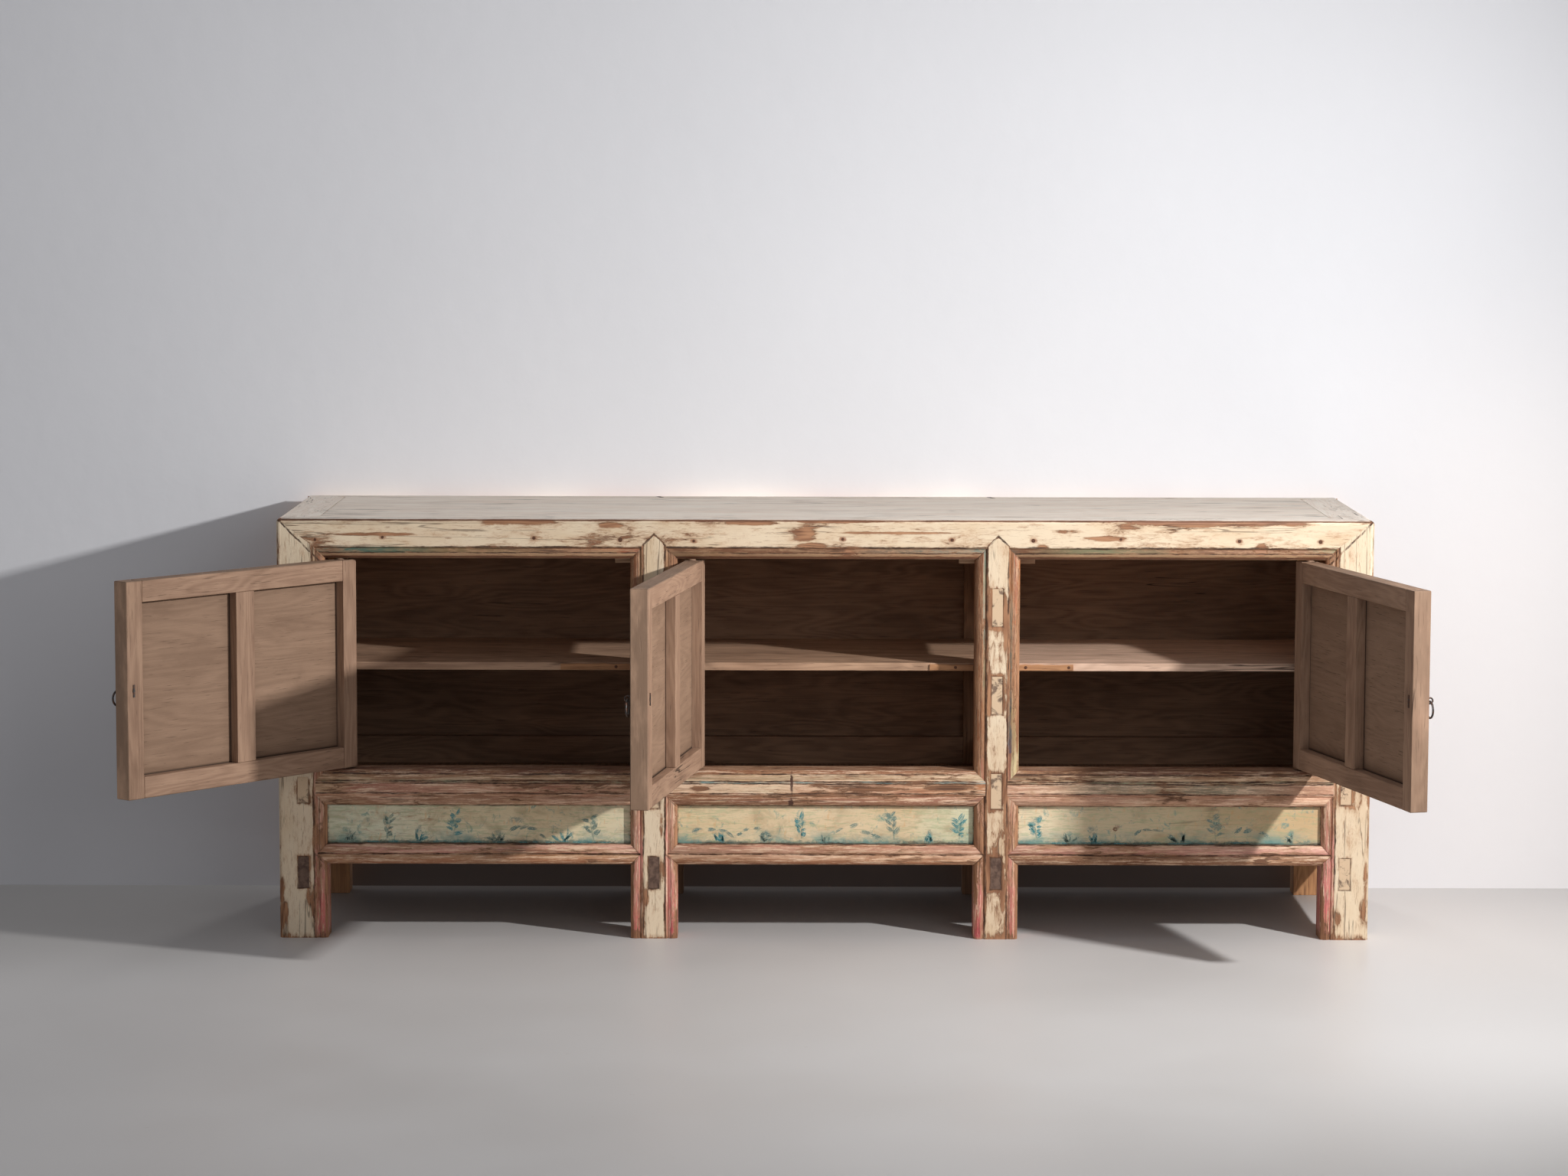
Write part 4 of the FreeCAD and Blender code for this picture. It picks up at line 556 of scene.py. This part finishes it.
def top_rail(node, grain, seed, loss, bead_stops=None, worn_places=(), knots=()):
    """A rail of the top frame: cream on its outer face, worn grey on top. Only the front one has a bead."""
    coat = Finish("cream_" + node)
    x, y, z = (coat.axis(a) for a in "xyz")
    facing = coat.node("ShaderNodeNewGeometry").outputs["True Normal"]
    upward = coat.node("ShaderNodeSeparateXYZ", {0: facing}).outputs["Z"]
    coat.lie_along(grain)
    wood, relief = timber(coat, bare_pale, bare_dark, seed=seed)
    paint = coat.cover(coat.spots(0.06, 3, 4, seed=seed), cream, buff)
    lost = loss
    joints = [coat.near(coat.plus(x, z), left_mitre, 0.004, 0.0012),
              coat.near(coat.less(z, x), right_mitre, 0.004, 0.0012)]
    rubbed = [coat.arris(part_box(node), 0.008)]
    if bead_stops:
        rubbed.append(coat.times(marks(coat, worn_places), 1.4))
        bead = coat.run(x, bead_stops, 0.1, 0.05, seed, 2)
        streak = coat.ease(coat.spots(0.006, 14, 4, 0.65, seed=seed + 9), 0.52, 0.60)
        bead = coat.cover(coat.times(streak, 0.45), bead, tone(206, 178, 146))
        bead = coat.cover(1.0, bead, (0.56, 0.51, 0.44, 1), "MULTIPLY")
        cloud = coat.spots(0.02, 8, 4, 0.6, seed=seed + 10)
        low_tone = coat.cover(cloud, tone(178, 148, 112), tone(140, 102, 78))
        bead = coat.cover(coat.ease(z, 0.7815, 0.7800), bead, low_tone)
        on_bead = coat.ease(z, bead_top + 0.0007, bead_top - 0.0003)
        paint = coat.cover(on_bead, paint, bead)
        lost = coat.scaled(on_bead, 0.12 - loss, lost)
        joints += [coat.near(z, bead_top, 0.0028, 0.0008), coat.near(z, 0.7815, 0.0018, 0.0004)]
        halo = coat.times(marks(coat, [(at, level, 9, 6) for at, level, radius in knots]),
                          coat.spots(0.006, 2, 5, 0.75))
        paint = coat.cover(coat.ease(halo, 0.15, 0.5, 0, 0.9), paint, tone(150, 100, 72))
    for centre, head in (second_post, third_post):
        aside = coat.near_by(x, centre)
        tip = coat.near(coat.plus(aside, z), head, 0.0035, 0.0012)
        joints.append(coat.times(tip, coat.ease(aside, 0.0245, 0.0225)))
    colour, height = flaked(coat, wood, relief, paint, coat.most(*joints), lost, seed, 0.011, 4.5,
                            coat.most(*rubbed))[:2]
    grey = timber(coat, *weathered_and_sheen, seed=seed + 5)[0]
    grey = coat.cover(coat.times(cracks(coat, 0.4, 0.03, seed + 15), 0.8), grey, tone(84, 60, 46))
    if node == "top_rail_back":
        leant = coat.scaled(y, 0.3, x)
        gaps = coat.most(coat.near(leant, 0.855, 0.007, 0.003), coat.near(leant, 1.559, 0.007, 0.003))
        grey = coat.cover(gaps, grey, tone(58, 42, 33))
    colour = coat.cover(coat.ease(upward, 0.75, 0.9), colour, grey)
    worn_through = coat.plus(coat.arris(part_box(node), 0.0085),
                              coat.spots(0.018, 6, 5, 0.7, seed=seed + 3))
    colour = coat.cover(coat.ease(worn_through, 0.80, 0.92, 0, 0.9), colour, tone(112, 72, 50))
    dress(node, coat.close(colour, 0.62, height, 0.0009))


earth, umber = tone(162, 120, 92), tone(152, 108, 82)
bead_run = [(0.03, 104, 140, 134), (0.2, 120, 144, 126), (0.28, 160, 136, 100), (0.55, earth),
            (0.62, rust), (0.66, 170, 96, 66), (0.76, umber), (1.1, earth), (1.3, 120, 140, 132),
            (1.36, teal), (1.44, umber), (1.6, sage), (1.8, earth), (2.0, umber), (2.05, sage)]
worn_front = [(168, 818, 82, 4), (439, 845, 90, 8), (1007, 822, 26, 15), (1021, 798, 30, 5),
              (1190, 823, 110, 2.5), (1530, 826, 40, 5), (1600, 812, 50, 5), (1484, 796, 15, 6),
              (1862, 843, 165, 7), (1920, 790, 13, 12), (620, 838, 25, 6), (900, 842, 60, 5), (1100, 846, 120, 4)]
# Each peg head: x, z and radius, in millimetres.
peg_heads = [(29.7, 807, 3), (164.4, 812, 3), (467, 811, 3.5), (639.5, 808, 4.5), (786.4, 806, 3),
             (1084, 810, 3), (1302.6, 809, 3.5), (1465, 808, 4), (1640, 811, 3), (1877, 808, 3.5), (2039, 807, 4)]
top_rail("top_rail_front", "x", 31, 0.10, bead_run, worn_front, peg_heads)
top_rail("top_rail_back", "x", 35, 0.4)
top_rail("top_rail_left", "y", 39, 0.25)
top_rail("top_rail_right", "y", 43, 0.25)

# The top is three thick boards let into the frame, laid on battens, scrubbed grey by use and painted paler as a
# sheen of grazing light.
for number, node in enumerate(("top_board_front", "top_board_middle", "top_board_back")):
    dress(node, bare_finish("weathered_" + node, "x", *weathered_and_sheen, 51 + 4 * number, 0.07,
                                 box=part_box(node), grime=0.2))
dress("top_battens", bare_finish("batten_wood", "y", tone(150, 112, 84), tone(98, 70, 52), 65))


# Below the doors a moulded rail runs between the posts: a bead, a flat and a second bead from one timber,
# mitred into the beads of the posts. Each of its mouldings had its own colour.
def moulded_finish(name, bands, quirks, seed, loss, flat_stops=None, worn_places=(), splits=()):
    """A moulded rail: bands of colour one above the other, with dirt in the quirks, and dark splits."""
    coat = Finish(name)
    x, z = coat.axis("x"), coat.axis("z")
    coat.lie_along("x")
    wood, relief = timber(coat, tone(160, 114, 82), tone(104, 70, 50), seed=seed)
    paint = coat.run(z, bands, 0.010, 0.03, seed, 5)
    change = coat.ease(coat.spots(0.024, 7, 5, 0.7, 0.5, seed=seed + 6), 0.48, 0.58, 0, 0.75)
    paint = coat.cover(change, paint, tone(156, 114, 84))
    if flat_stops:
        flat_paint = coat.run(x, flat_stops, 0.1, 0.05, seed + 2, 2)
        inside = coat.times(coat.ease(z, 0.296, 0.297), coat.ease(z, 0.316, 0.315))
        paint = coat.cover(inside, paint, flat_paint)
    streaks = coat.spots(0.0045, 18, 5, 0.8, seed=seed + 9)
    paint = coat.cover(coat.ease(streaks, 0.52, 0.56, 0, 0.75), paint, tone(236, 208, 180))
    paint = coat.cover(coat.ease(streaks, 0.45, 0.41, 0, 0.5), paint, tone(122, 84, 62))
    paint = coat.cover(1.0, paint, (0.97, 0.93, 0.91, 1), "MULTIPLY")
    joints = coat.most(*(coat.near(z, line, 0.0022, 0.0006) for line in quirks))
    rubbed = marks(coat, worn_places) if worn_places else None
    colour, height = flaked(coat, wood, relief, paint, joints, loss, seed, 0.007, 7, rubbed)[:2]
    if splits:
        ragged = coat.scaled(coat.spots(0.006, 1, 5, 0.8, seed=seed + 23), 2.4, -1.2)
        torn = coat.ease(coat.plus(marks(coat, splits), ragged), 0.45, 0.85, 0, 0.9)
        colour = coat.cover(torn, colour, tone(72, 40, 32))
        height = coat.less(height, torn)
    return coat.close(colour, 0.62, height, 0.0009)


pinkish, blush = tone(204, 158, 132), tone(214, 178, 150)
bands_1 = [(0.270, 206, 166, 142), (0.284, 212, 170, 144), (0.294, 194, 146, 120),
           (0.297, 184, 134, 110), (0.315, pinkish),
           (0.317, 96, 84, 68), (0.320, sage), (0.324, buff), (0.330, 150, 128, 98),
           (0.336, 138, 98, 80), (0.343, 124, 86, 70)]
bands_2 = [(0.270, 168, 124, 98), (0.284, 152, 106, 86), (0.294, 164, 116, 84),
           (0.297, 156, 108, 88), (0.315, blush), (0.317, teal), (0.320, teal), (0.322, 208, 186, 154),
           (0.334, 204, 180, 148), (0.336, 154, 108, 80), (0.343, 138, 96, 72)]
middle_quirks = (0.2705, 0.2958, 0.3158, 0.3205, 0.3352)
dress("middle_rail_left", moulded_finish("moulded_rail_left", bands_1, middle_quirks, 71, 0.16,
      [(0.05, 190, 160, 128), (0.12, plum), (0.35, pinkish), (0.5, plum), (0.6, pinkish)]))
dress("middle_rail_centre", moulded_finish("moulded_rail_centre", bands_2, middle_quirks, 75, 0.14,
      [(0.75, blush), (0.95, cream), (1.0, blush), (1.15, pinkish), (1.35, rust)],
      [(800, 306, 20, 5), (1160, 305, 60, 4), (1290, 308, 40, 5)], [(983, 318, 3.5, 26), (981, 278, 7, 9)]))
dress("middle_rail_right", moulded_finish("moulded_rail_right", bands_1, middle_quirks, 79, 0.16,
      [(1.44, pinkish), (1.6, 164, 148, 124), (1.85, 150, 142, 120), (2.05, pinkish)]))
lower_1 = [(0.151, 156, 102, 70), (0.160, 178, 126, 92), (0.1695, 184, 148, 112),
           (0.1725, 210, 152, 138), (0.192, 212, 168, 148)]
lower_2 = [(0.151, 156, 102, 70), (0.160, 180, 130, 96), (0.1695, blush), (0.1725, 202, 160, 136),
           (0.192, 188, 136, 114)]
lower_3 = [(0.151, 124, 84, 60), (0.160, 140, 98, 72), (0.1695, 156, 120, 92)] + lower_1[3:]
for node, bands, seed in (("lower_rail_left", lower_1, 83), ("lower_rail_centre", lower_2, 87),
                               ("lower_rail_right", lower_3, 91)):
    dress(node, moulded_finish("moulded_" + node, bands, (0.192, 0.1715), seed, 0.12))


# The three low panels are thin boards in grooves, painted with loose leaves and grass in teal
# over a pale ground that is stained and rubbed.
panel_low, panel_high = 192, 270.5
panel_spans = {"left": (48.5, 659.5), "centre": (753.5, 1350.5), "right": (1439.5, 2050.5)}


def painted_panel(side, ground, seed, blots):
    """A painted panel: pale ground that changes along the board, rubbed and stained."""
    coat = Finish("leaf_panel_" + side)
    x, z = coat.axis("x"), coat.axis("z")
    coat.lie_along("x")
    wood, relief = timber(coat, tone(196, 150, 110), tone(130, 90, 62), seed=seed)
    paint = coat.run(x, ground, 0.15, 0.08, seed)
    haze = coat.ease(coat.spots(0.045, 1.6, 4, 0.6, 0.8, seed=seed + 8), 0.48, 0.68, 0, 0.55)
    paint = coat.cover(haze, paint, tone(176, 158, 124))
    wisp = coat.ease(coat.spots(0.022, 0.8, 5, 0.75, 1.0, seed=seed + 3), 0.56, 0.70, 0, 0.75)
    paint = coat.cover(wisp, paint, tone(96, 150, 148))
    dabs = coat.scaled(coat.spots(0.010, 1.4, 5, 0.8, seed=seed + 13), 0.034, 0.1795)
    grass = coat.ease(coat.less(z, dabs), 0.004, -0.003, 0, 0.7)
    paint = coat.cover(grass, paint, tone(66, 104, 100))
    stroke = coat.ease(coat.spots(0.005, 7, 4, 0.7, seed=seed + 15), 0.52, 0.60, 0, 0.4)
    paint = coat.cover(stroke, paint, tone(164, 180, 138))
    stain = coat.ease(coat.spots(0.03, 0.35, 3, 0.5, seed=seed + 5), 0.62, 0.75, 0, 0.4)
    paint = coat.cover(stain, paint, tone(222, 170, 112))
    uneven = coat.ease(coat.spots(0.07, 1.6, 5, 0.7, seed=seed + 17), 0.42, 0.62, 0.05, 0.9)
    wash_share = coat.times(coat.ease(z, 0.230, panel_low * mm), uneven)
    paint = coat.cover(wash_share, paint, tone(104, 150, 146))
    paint = coat.cover(1.0, paint, (0.97, 0.94, 0.91, 1), "MULTIPLY")
    ragged = coat.scaled(coat.spots(0.010, 1.2, 6, 0.85, 1.5, seed=seed + 19), 3.4, -1.7)
    for places, blot in blots:
        share = coat.ease(coat.plus(marks(coat, places), ragged), 0.55, 1.45, 0, 0.8)
        paint = coat.cover(share, paint, blot)
    joints = coat.most(*(coat.near(z, edge * mm, 0.003) for edge in (panel_low, panel_high)),
                         *(coat.near(x, edge * mm, 0.003) for edge in panel_spans[side]))
    colour, height = flaked(coat, wood, relief, paint, joints, -0.25, seed, 0.01, 3, wear=0.45)[:2]
    dress("painted_panel_" + side, coat.close(colour, 0.55, height, 0.0005))


blot_teal, blot_slate = tone(40, 134, 136), tone(96, 124, 122)
blot_dark, blot_plum = tone(56, 74, 70), tone(128, 76, 76)
painted_panel("left", [(0.05, 222, 226, 202), (0.3, 232, 222, 190), (0.5, 234, 216, 178),
                       (0.66, 222, 212, 182)], 101,
      [([(168, 238, 11, 14), (168, 212, 3, 16), (300, 234, 12, 16), (585, 236, 12, 14), (520, 210, 6, 14)],
        blot_teal),
       ([(90, 214, 9, 13), (232, 218, 8, 15), (392, 214, 10, 10), (430, 240, 22, 9), (130, 240, 7, 7)],
        blot_slate),
       ([(200, 194, 110, 4), (430, 195, 110, 5), (600, 194, 50, 4)], blot_dark)])
painted_panel("centre", [(0.75, 224, 204, 164), (1.0, 228, 208, 174), (1.2, 224, 204, 168),
                         (1.35, 210, 214, 184)], 105,
      [([(1004, 236, 12, 14), (1175, 246, 30, 12), (842, 206, 12, 10), (1322, 226, 12, 20), (1190, 210, 3, 16)],
        blot_teal),
       ([(930, 212, 12, 12), (1262, 214, 9, 10), (790, 216, 8, 10)], blot_slate),
       ([(840, 194, 70, 4), (1060, 194, 60, 3), (1250, 195, 90, 5)], blot_dark)])
painted_panel("right", [(1.44, 232, 220, 190), (1.6, 212, 196, 162), (1.85, 206, 188, 152),
                        (2.05, 208, 182, 142)], 109,
      [([(1478, 240, 13, 12), (1840, 236, 14, 16), (1990, 214, 10, 10), (1545, 212, 12, 9)], blot_teal),
       ([(1590, 220, 12, 14), (1768, 212, 9, 9)], blot_slate), ([(1640, 228, 9, 7)], blot_plum),
       ([(1640, 194, 120, 4), (1860, 195, 90, 5)], blot_dark)])

# The leaves and grasses are laid on with a half-dry brush, so every stroke breaks up into bristle lines.
leaf_paint = []
for name, light, dark in (("leaf_teal", tone(78, 156, 160), tone(30, 104, 112)),
                          ("leaf_grey", tone(128, 150, 140), tone(74, 98, 92)),
                          ("leaf_brown", tone(150, 96, 66), tone(96, 56, 42))):
    coat = Finish(name)
    thin = coat.cover(coat.spots(0.012, 1.5, 4, 0.6), light, dark)
    thin = coat.cover(coat.ease(coat.spots(0.003, 1, 3), 0.5, 0.62, 0, 0.5), thin, tone(206, 204, 170))
    leaf_paint.append(coat.close(thin, 0.6, coat.spots(0.002, 1, 3), 0.0002))


paint_y = -18.12
stroke_steps = 8


def brush_stroke(form, chance, start, heading, length, width, curl, box, bristles):
    """One stroke from its start, in millimetres: it heads off at an angle, curls, swells and thins out."""
    low_x, high_x, low_z, high_z = box
    for bristle in range(bristles):
        side = bristle / (bristles - 1) - 0.5
        begin, end = chance.uniform(0, 0.25), chance.uniform(0.6, 1.0)
        fine = width / bristles * chance.uniform(0.5, 1.3)
        row = []
        for step in range(stroke_steps + 1):
            t = begin + (end - begin) * step / stroke_steps
            bend = heading + curl * t
            middle = heading + curl * t / 2
            swell = math.sin(math.pi * min(1.0, t * 0.9 + 0.1)) ** 0.6
            x = start[0] + length * t * math.cos(middle) - math.sin(bend) * side * width * swell
            z = start[1] + length * t * math.sin(middle) + math.cos(bend) * side * width * swell
            half = fine * swell * (0.55 if step in (0, stroke_steps) else 1.0) / 2
            for edge in (-half, half):
                at_x, at_z = x - math.sin(bend) * edge, z + math.cos(bend) * edge
                at_x, at_z = min(max(at_x, low_x), high_x), min(max(at_z, low_z), high_z)
                row.append(form.verts.new((at_x * mm, paint_y * mm, at_z * mm)))
        for step in range(stroke_steps):
            a, b, c, d = row[2 * step:2 * step + 4]
            if (a.co - d.co).length > 2e-5 and (b.co - c.co).length > 2e-5:
                form.faces.new((a, c, d, b))


def laid(name, form, material):
    """Ends a piece made in mesh code: its finish and the carcass that it rides on."""
    mesh = bpy.data.meshes.new(name)
    form.to_mesh(mesh)
    form.free()
    made = bpy.data.objects.new(name, mesh)
    made.data.materials.append(material)
    bpy.context.scene.collection.objects.link(made)
    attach(made, "carcass")


plants = {
    "left": [("tuft", 90, 30), ("sprig", 168, 52), ("tuft", 232, 34), ("sprig", 300, 58), ("line", 120, 300),
             ("tuft", 392, 30), ("arc", 452, 44), ("tuft", 520, 40), ("sprig", 585, 50), ("line", 430, 190)],
    "centre": [("arc", 830, 46), ("tuft", 842, 30), ("arc", 905, 38), ("tuft", 930, 26), ("sprig", 1004, 48),
               ("tuft", 1050, 26), ("arc", 1120, 50), ("sprig", 1190, 60), ("tuft", 1262, 28),
               ("sprig", 1322, 48)],
    "right": [("sprig", 1478, 44), ("tuft", 1540, 26), ("tuft", 1590, 34), ("flower", 1636, 34),
              ("line", 1500, 420), ("arc", 1712, 44), ("tuft", 1768, 30), ("sprig", 1840, 54), ("arc", 1918, 40),
              ("tuft", 1990, 30)]}
for side, (low, high) in panel_spans.items():
    box = (low + 1.5, high - 1.5, panel_low + 0.5, panel_high - 0.5)
    chance = random.Random(side)
    forms = [bmesh.new(), bmesh.new(), bmesh.new()]
    for kind, x, tall in plants[side]:
        form = forms[0] if chance.random() < 0.6 else forms[1]
        if kind == "tuft":
            for blade in range(chance.randint(5, 8)):
                heading = math.radians(chance.uniform(40, 140))
                start = (x + chance.uniform(-9, 9), 194)
                brush_stroke(form, chance, start, heading, tall * chance.uniform(0.5, 1.0),
                             chance.uniform(2.5, 5.5), chance.uniform(-0.9, 0.9), box, 5)
        elif kind == "sprig":
            lean = chance.uniform(1.3, 1.8)
            brush_stroke(forms[1], chance, (x, 195), lean, tall, 1.6, chance.uniform(-0.4, 0.4), box, 2)
            for leaf in range(7):
                share = 0.25 + 0.11 * leaf
                root = (x + math.cos(lean) * tall * share, 195 + tall * share)
                heading = lean + (1 if leaf % 2 else -1) * chance.uniform(0.6, 1.1)
                brush_stroke(form, chance, root, heading, chance.uniform(12, 24), chance.uniform(4, 9),
                             chance.uniform(-0.9, 0.9), box, 7)
        elif kind == "line":
            for part in range(7):
                start = (x + tall * part / 7, 193.5 + chance.uniform(0, 2))
                brush_stroke(forms[0], chance, start, chance.uniform(-0.03, 0.03),
                             tall / 7 * chance.uniform(0.7, 1.2), 2.4, 0.0, box, 3)
        elif kind == "arc":
            for part in range(4):
                start = (x - tall + tall * 0.5 * part + chance.uniform(-6, 6),
                         212 + 9 * (part in (1, 2)) + chance.uniform(-5, 5))
                brush_stroke(forms[1], chance, start, 0.7 - 0.35 * part, tall * chance.uniform(0.4, 0.7),
                             chance.uniform(4, 8), chance.uniform(-0.8, 0.2), box, 6)
        else:
            for petal in range(6):
                brush_stroke(forms[2], chance, (x, 206 + tall / 2), petal * 1.05, 6, 3.5, 0.3, box, 3)
            brush_stroke(form, chance, (x, 195), 1.5, tall * 0.8, 1.5, 0.2, box, 2)
    for form, material, name in zip(forms, leaf_paint, ("teal", "grey", "brown")):
        if form.faces:
            laid(f"{name}_leaves_{side}", form, material)
        else:
            form.free()


# The front rail of the top frame is pinned to the posts and battens with small wooden pegs.
# Their heads show as dark spots with a stained halo in the paint.
def round_head(form, x, y, z, radius, proud):
    """A low round head that faces the front, pushed in by the hammer."""
    turn = Vector((0, 0, 1)).rotation_difference(Vector((0, -1, 0))).to_matrix().to_4x4()
    place = Matrix.Translation((x * mm, y * mm, z * mm)) @ turn
    corners = 14
    loops = []
    for share, rise in ((1.0, -0.4), (0.96, 0.35), (0.7, 0.8), (0.3, 1.0)):
        loops.append([])
        for corner in range(corners):
            angle, wide = corner * 2 * math.pi / corners, radius * share * mm
            at = Vector((math.cos(angle) * wide, math.sin(angle) * wide, proud * rise * mm))
            loops[-1].append(form.verts.new(place @ at))
    for low, high in zip(loops, loops[1:]):
        for corner in range(corners):
            form.faces.new((low[corner - 1], low[corner], high[corner], high[corner - 1]))
    form.faces.new(loops[-1])


pegs = Finish("dark_pegs")
peg_tone = pegs.cover(pegs.spots(0.002, 1, 3), tone(112, 74, 54), tone(56, 38, 30))
peg_material = pegs.close(peg_tone, 0.8, pegs.spots(0.001, 1, 3), 0.0003, 0.3)
form = bmesh.new()
for x, z, radius in peg_heads:
    round_head(form, x, -32, z, radius, 0.4)
laid("top_rail_pegs", form, peg_material)

# Between the posts run cross rails whose tenons come through the front; behind the painted front all is bare.
inside_pale, inside_dark = tone(166, 132, 106), tone(118, 90, 70)
for node, grain, seed, painted in (
    ("cross_rails_left", "y", 121, 0.2), ("cross_rails_right", "y", 125, 0.2), ("back_rails", "x", 129, None),
    ("back_panels", "x", 133, None), ("floor_boards", "y", 137, None), ("side_rails_left", "y", 141, 0.2),
    ("side_rails_right", "y", 145, 0.0), ("shelf_bearers", "y", 149, None)):
    dress(node, bare_finish("dark_" + node, grain, inside_pale, inside_dark, seed, crack=0.15,
                                 painted_above=painted))
dress("door_stops", bare_finish("tan_door_stops", "x", tone(200, 168, 138), tone(160, 126, 98), 153))
for node, seed in (("side_panels_left", 157), ("side_panels_right", 161)):
    dress(node, bare_finish("dark_" + node, "y", tone(168, 124, 90), tone(110, 78, 56), seed))
# The right shelf is painted paler than the other two: painted light, for the light that falls into the right bay.
for node, seed, pale, dark in (("shelf_left", 165, tone(196, 160, 132), tone(144, 112, 90)),
                                    ("shelf_centre", 169, tone(190, 154, 126), tone(136, 106, 84)),
                                    ("shelf_right", 173, tone(226, 192, 168), tone(182, 150, 128))):
    dress(node, bare_finish("tan_" + node, "x", pale, dark, seed, grime=0.25))

# Thin cleats nailed to the shelf ends close the gaps beside the posts. Each is split from softwood.
cleat_wood = bare_finish("cleat_wood", "x", tone(196, 146, 104), tone(140, 98, 68), 181)
nail_form = bmesh.new()
for name, low, high, nails in (("shelf_cleat_left", 516, 659, (628,)),
                               ("shelf_cleat_centre", 1262, 1350, (1314,)),
                               ("shelf_cleat_right", 1440, 1552, (1456, 1543))):
    form = bmesh.new()
    chance = random.Random(name)
    ends = []
    for step in range(9):
        x = low + (high - low) * step / 8
        deep, tall = 34.2 + chance.uniform(-0.4, 0.4), 550 + chance.uniform(-0.8, 0.8)
        outline = ((38, 538.5), (deep + 0.6, 538), (deep, 539.2), (deep, tall - 1), (deep + 0.7, tall),
                   (38, tall))
        ends.append([form.verts.new((x * mm, y * mm, z * mm)) for y, z in outline])
    for here, beyond in zip(ends, ends[1:]):
        for corner in range(6):
            form.faces.new((here[corner - 1], here[corner], beyond[corner], beyond[corner - 1]))
    form.faces.new(ends[0])
    form.faces.new(ends[-1][::-1])
    bmesh.ops.recalc_face_normals(form, faces=form.faces)
    laid(name, form, cleat_wood)
    for x in nails:
        round_head(nail_form, x, 34.2, 544.5, 3.2, 0.8)
laid("shelf_nails", nail_form, peg_material)

# Each door is a frame of bare tan wood round two thin panels, with a muntin between them, and turns on
# wooden pins in its heel stile. The doors stand open as they were left, each by its own angle about its pins.
pin_inset = 0.0265
door_turns = {"left": ((0.0775, -0.014, 0), math.radians(-130.25), 0.6055),
              "centre": ((0.7825, -0.014, 0), math.radians(-99.4), 0.5915),
              "right": ((2.0215, -0.014, 0), math.radians(284.35), 0.6055)}
for number, (side, (pivot, angle, width)) in enumerate(door_turns.items()):
    turn = (pivot, angle)
    panel_edges = [("x", 0.0135, width / 2 - 0.05), ("x", width / 2 - 0.003, width - 0.0665),
                   ("z", 0.389, 0.724)]
    edges = [(-pin_inset, width - pin_inset), (0.347, 0.766)]
    parts = (("heel_stile", "z"), ("free_stile", "z"), ("rails", "x"), ("muntin", "z"))
    # The end faces of the left and centre doors, which stand in shade, get painted light; the lit right door does
    # not.
    for offset, (part, grain) in enumerate(parts):
        dress(f"door_{side}_{part}", bare_finish(f"tan_door_{side}_{part}", grain, tone(170, 138, 114),
              tone(136, 106, 86), 201 + 20 * number + 4 * offset, turn=turn, crack=0.15, edges=edges,
              painted_light_end=side != "right"), 2)
    dress(f"door_{side}_panels", bare_finish(f"tan_door_{side}_panels", "x", tone(152, 123, 101),
          tone(131, 104, 84), 217 + 20 * number, 0.07, turn=turn, crack=0.05, lines=panel_edges))

# The ring pulls are bent from iron rod and hang in iron staples driven through the free stiles.
iron = Finish("wrought_iron_black")
rusty = iron.ease(iron.spots(0.006, 1, 4), 0.45, 0.65)
iron_colour = iron.cover(rusty, tone(52, 48, 46), tone(92, 60, 44))
iron_material = iron.close(iron_colour, iron.ease(rusty, 0, 1, 0.45, 0.8), iron.spots(0.003, 1, 4), 0.0004, 0.5)
for side in door_turns:
    for part in ("ring_pull_", "ring_staple_"):
        dress(part + side, iron_material)
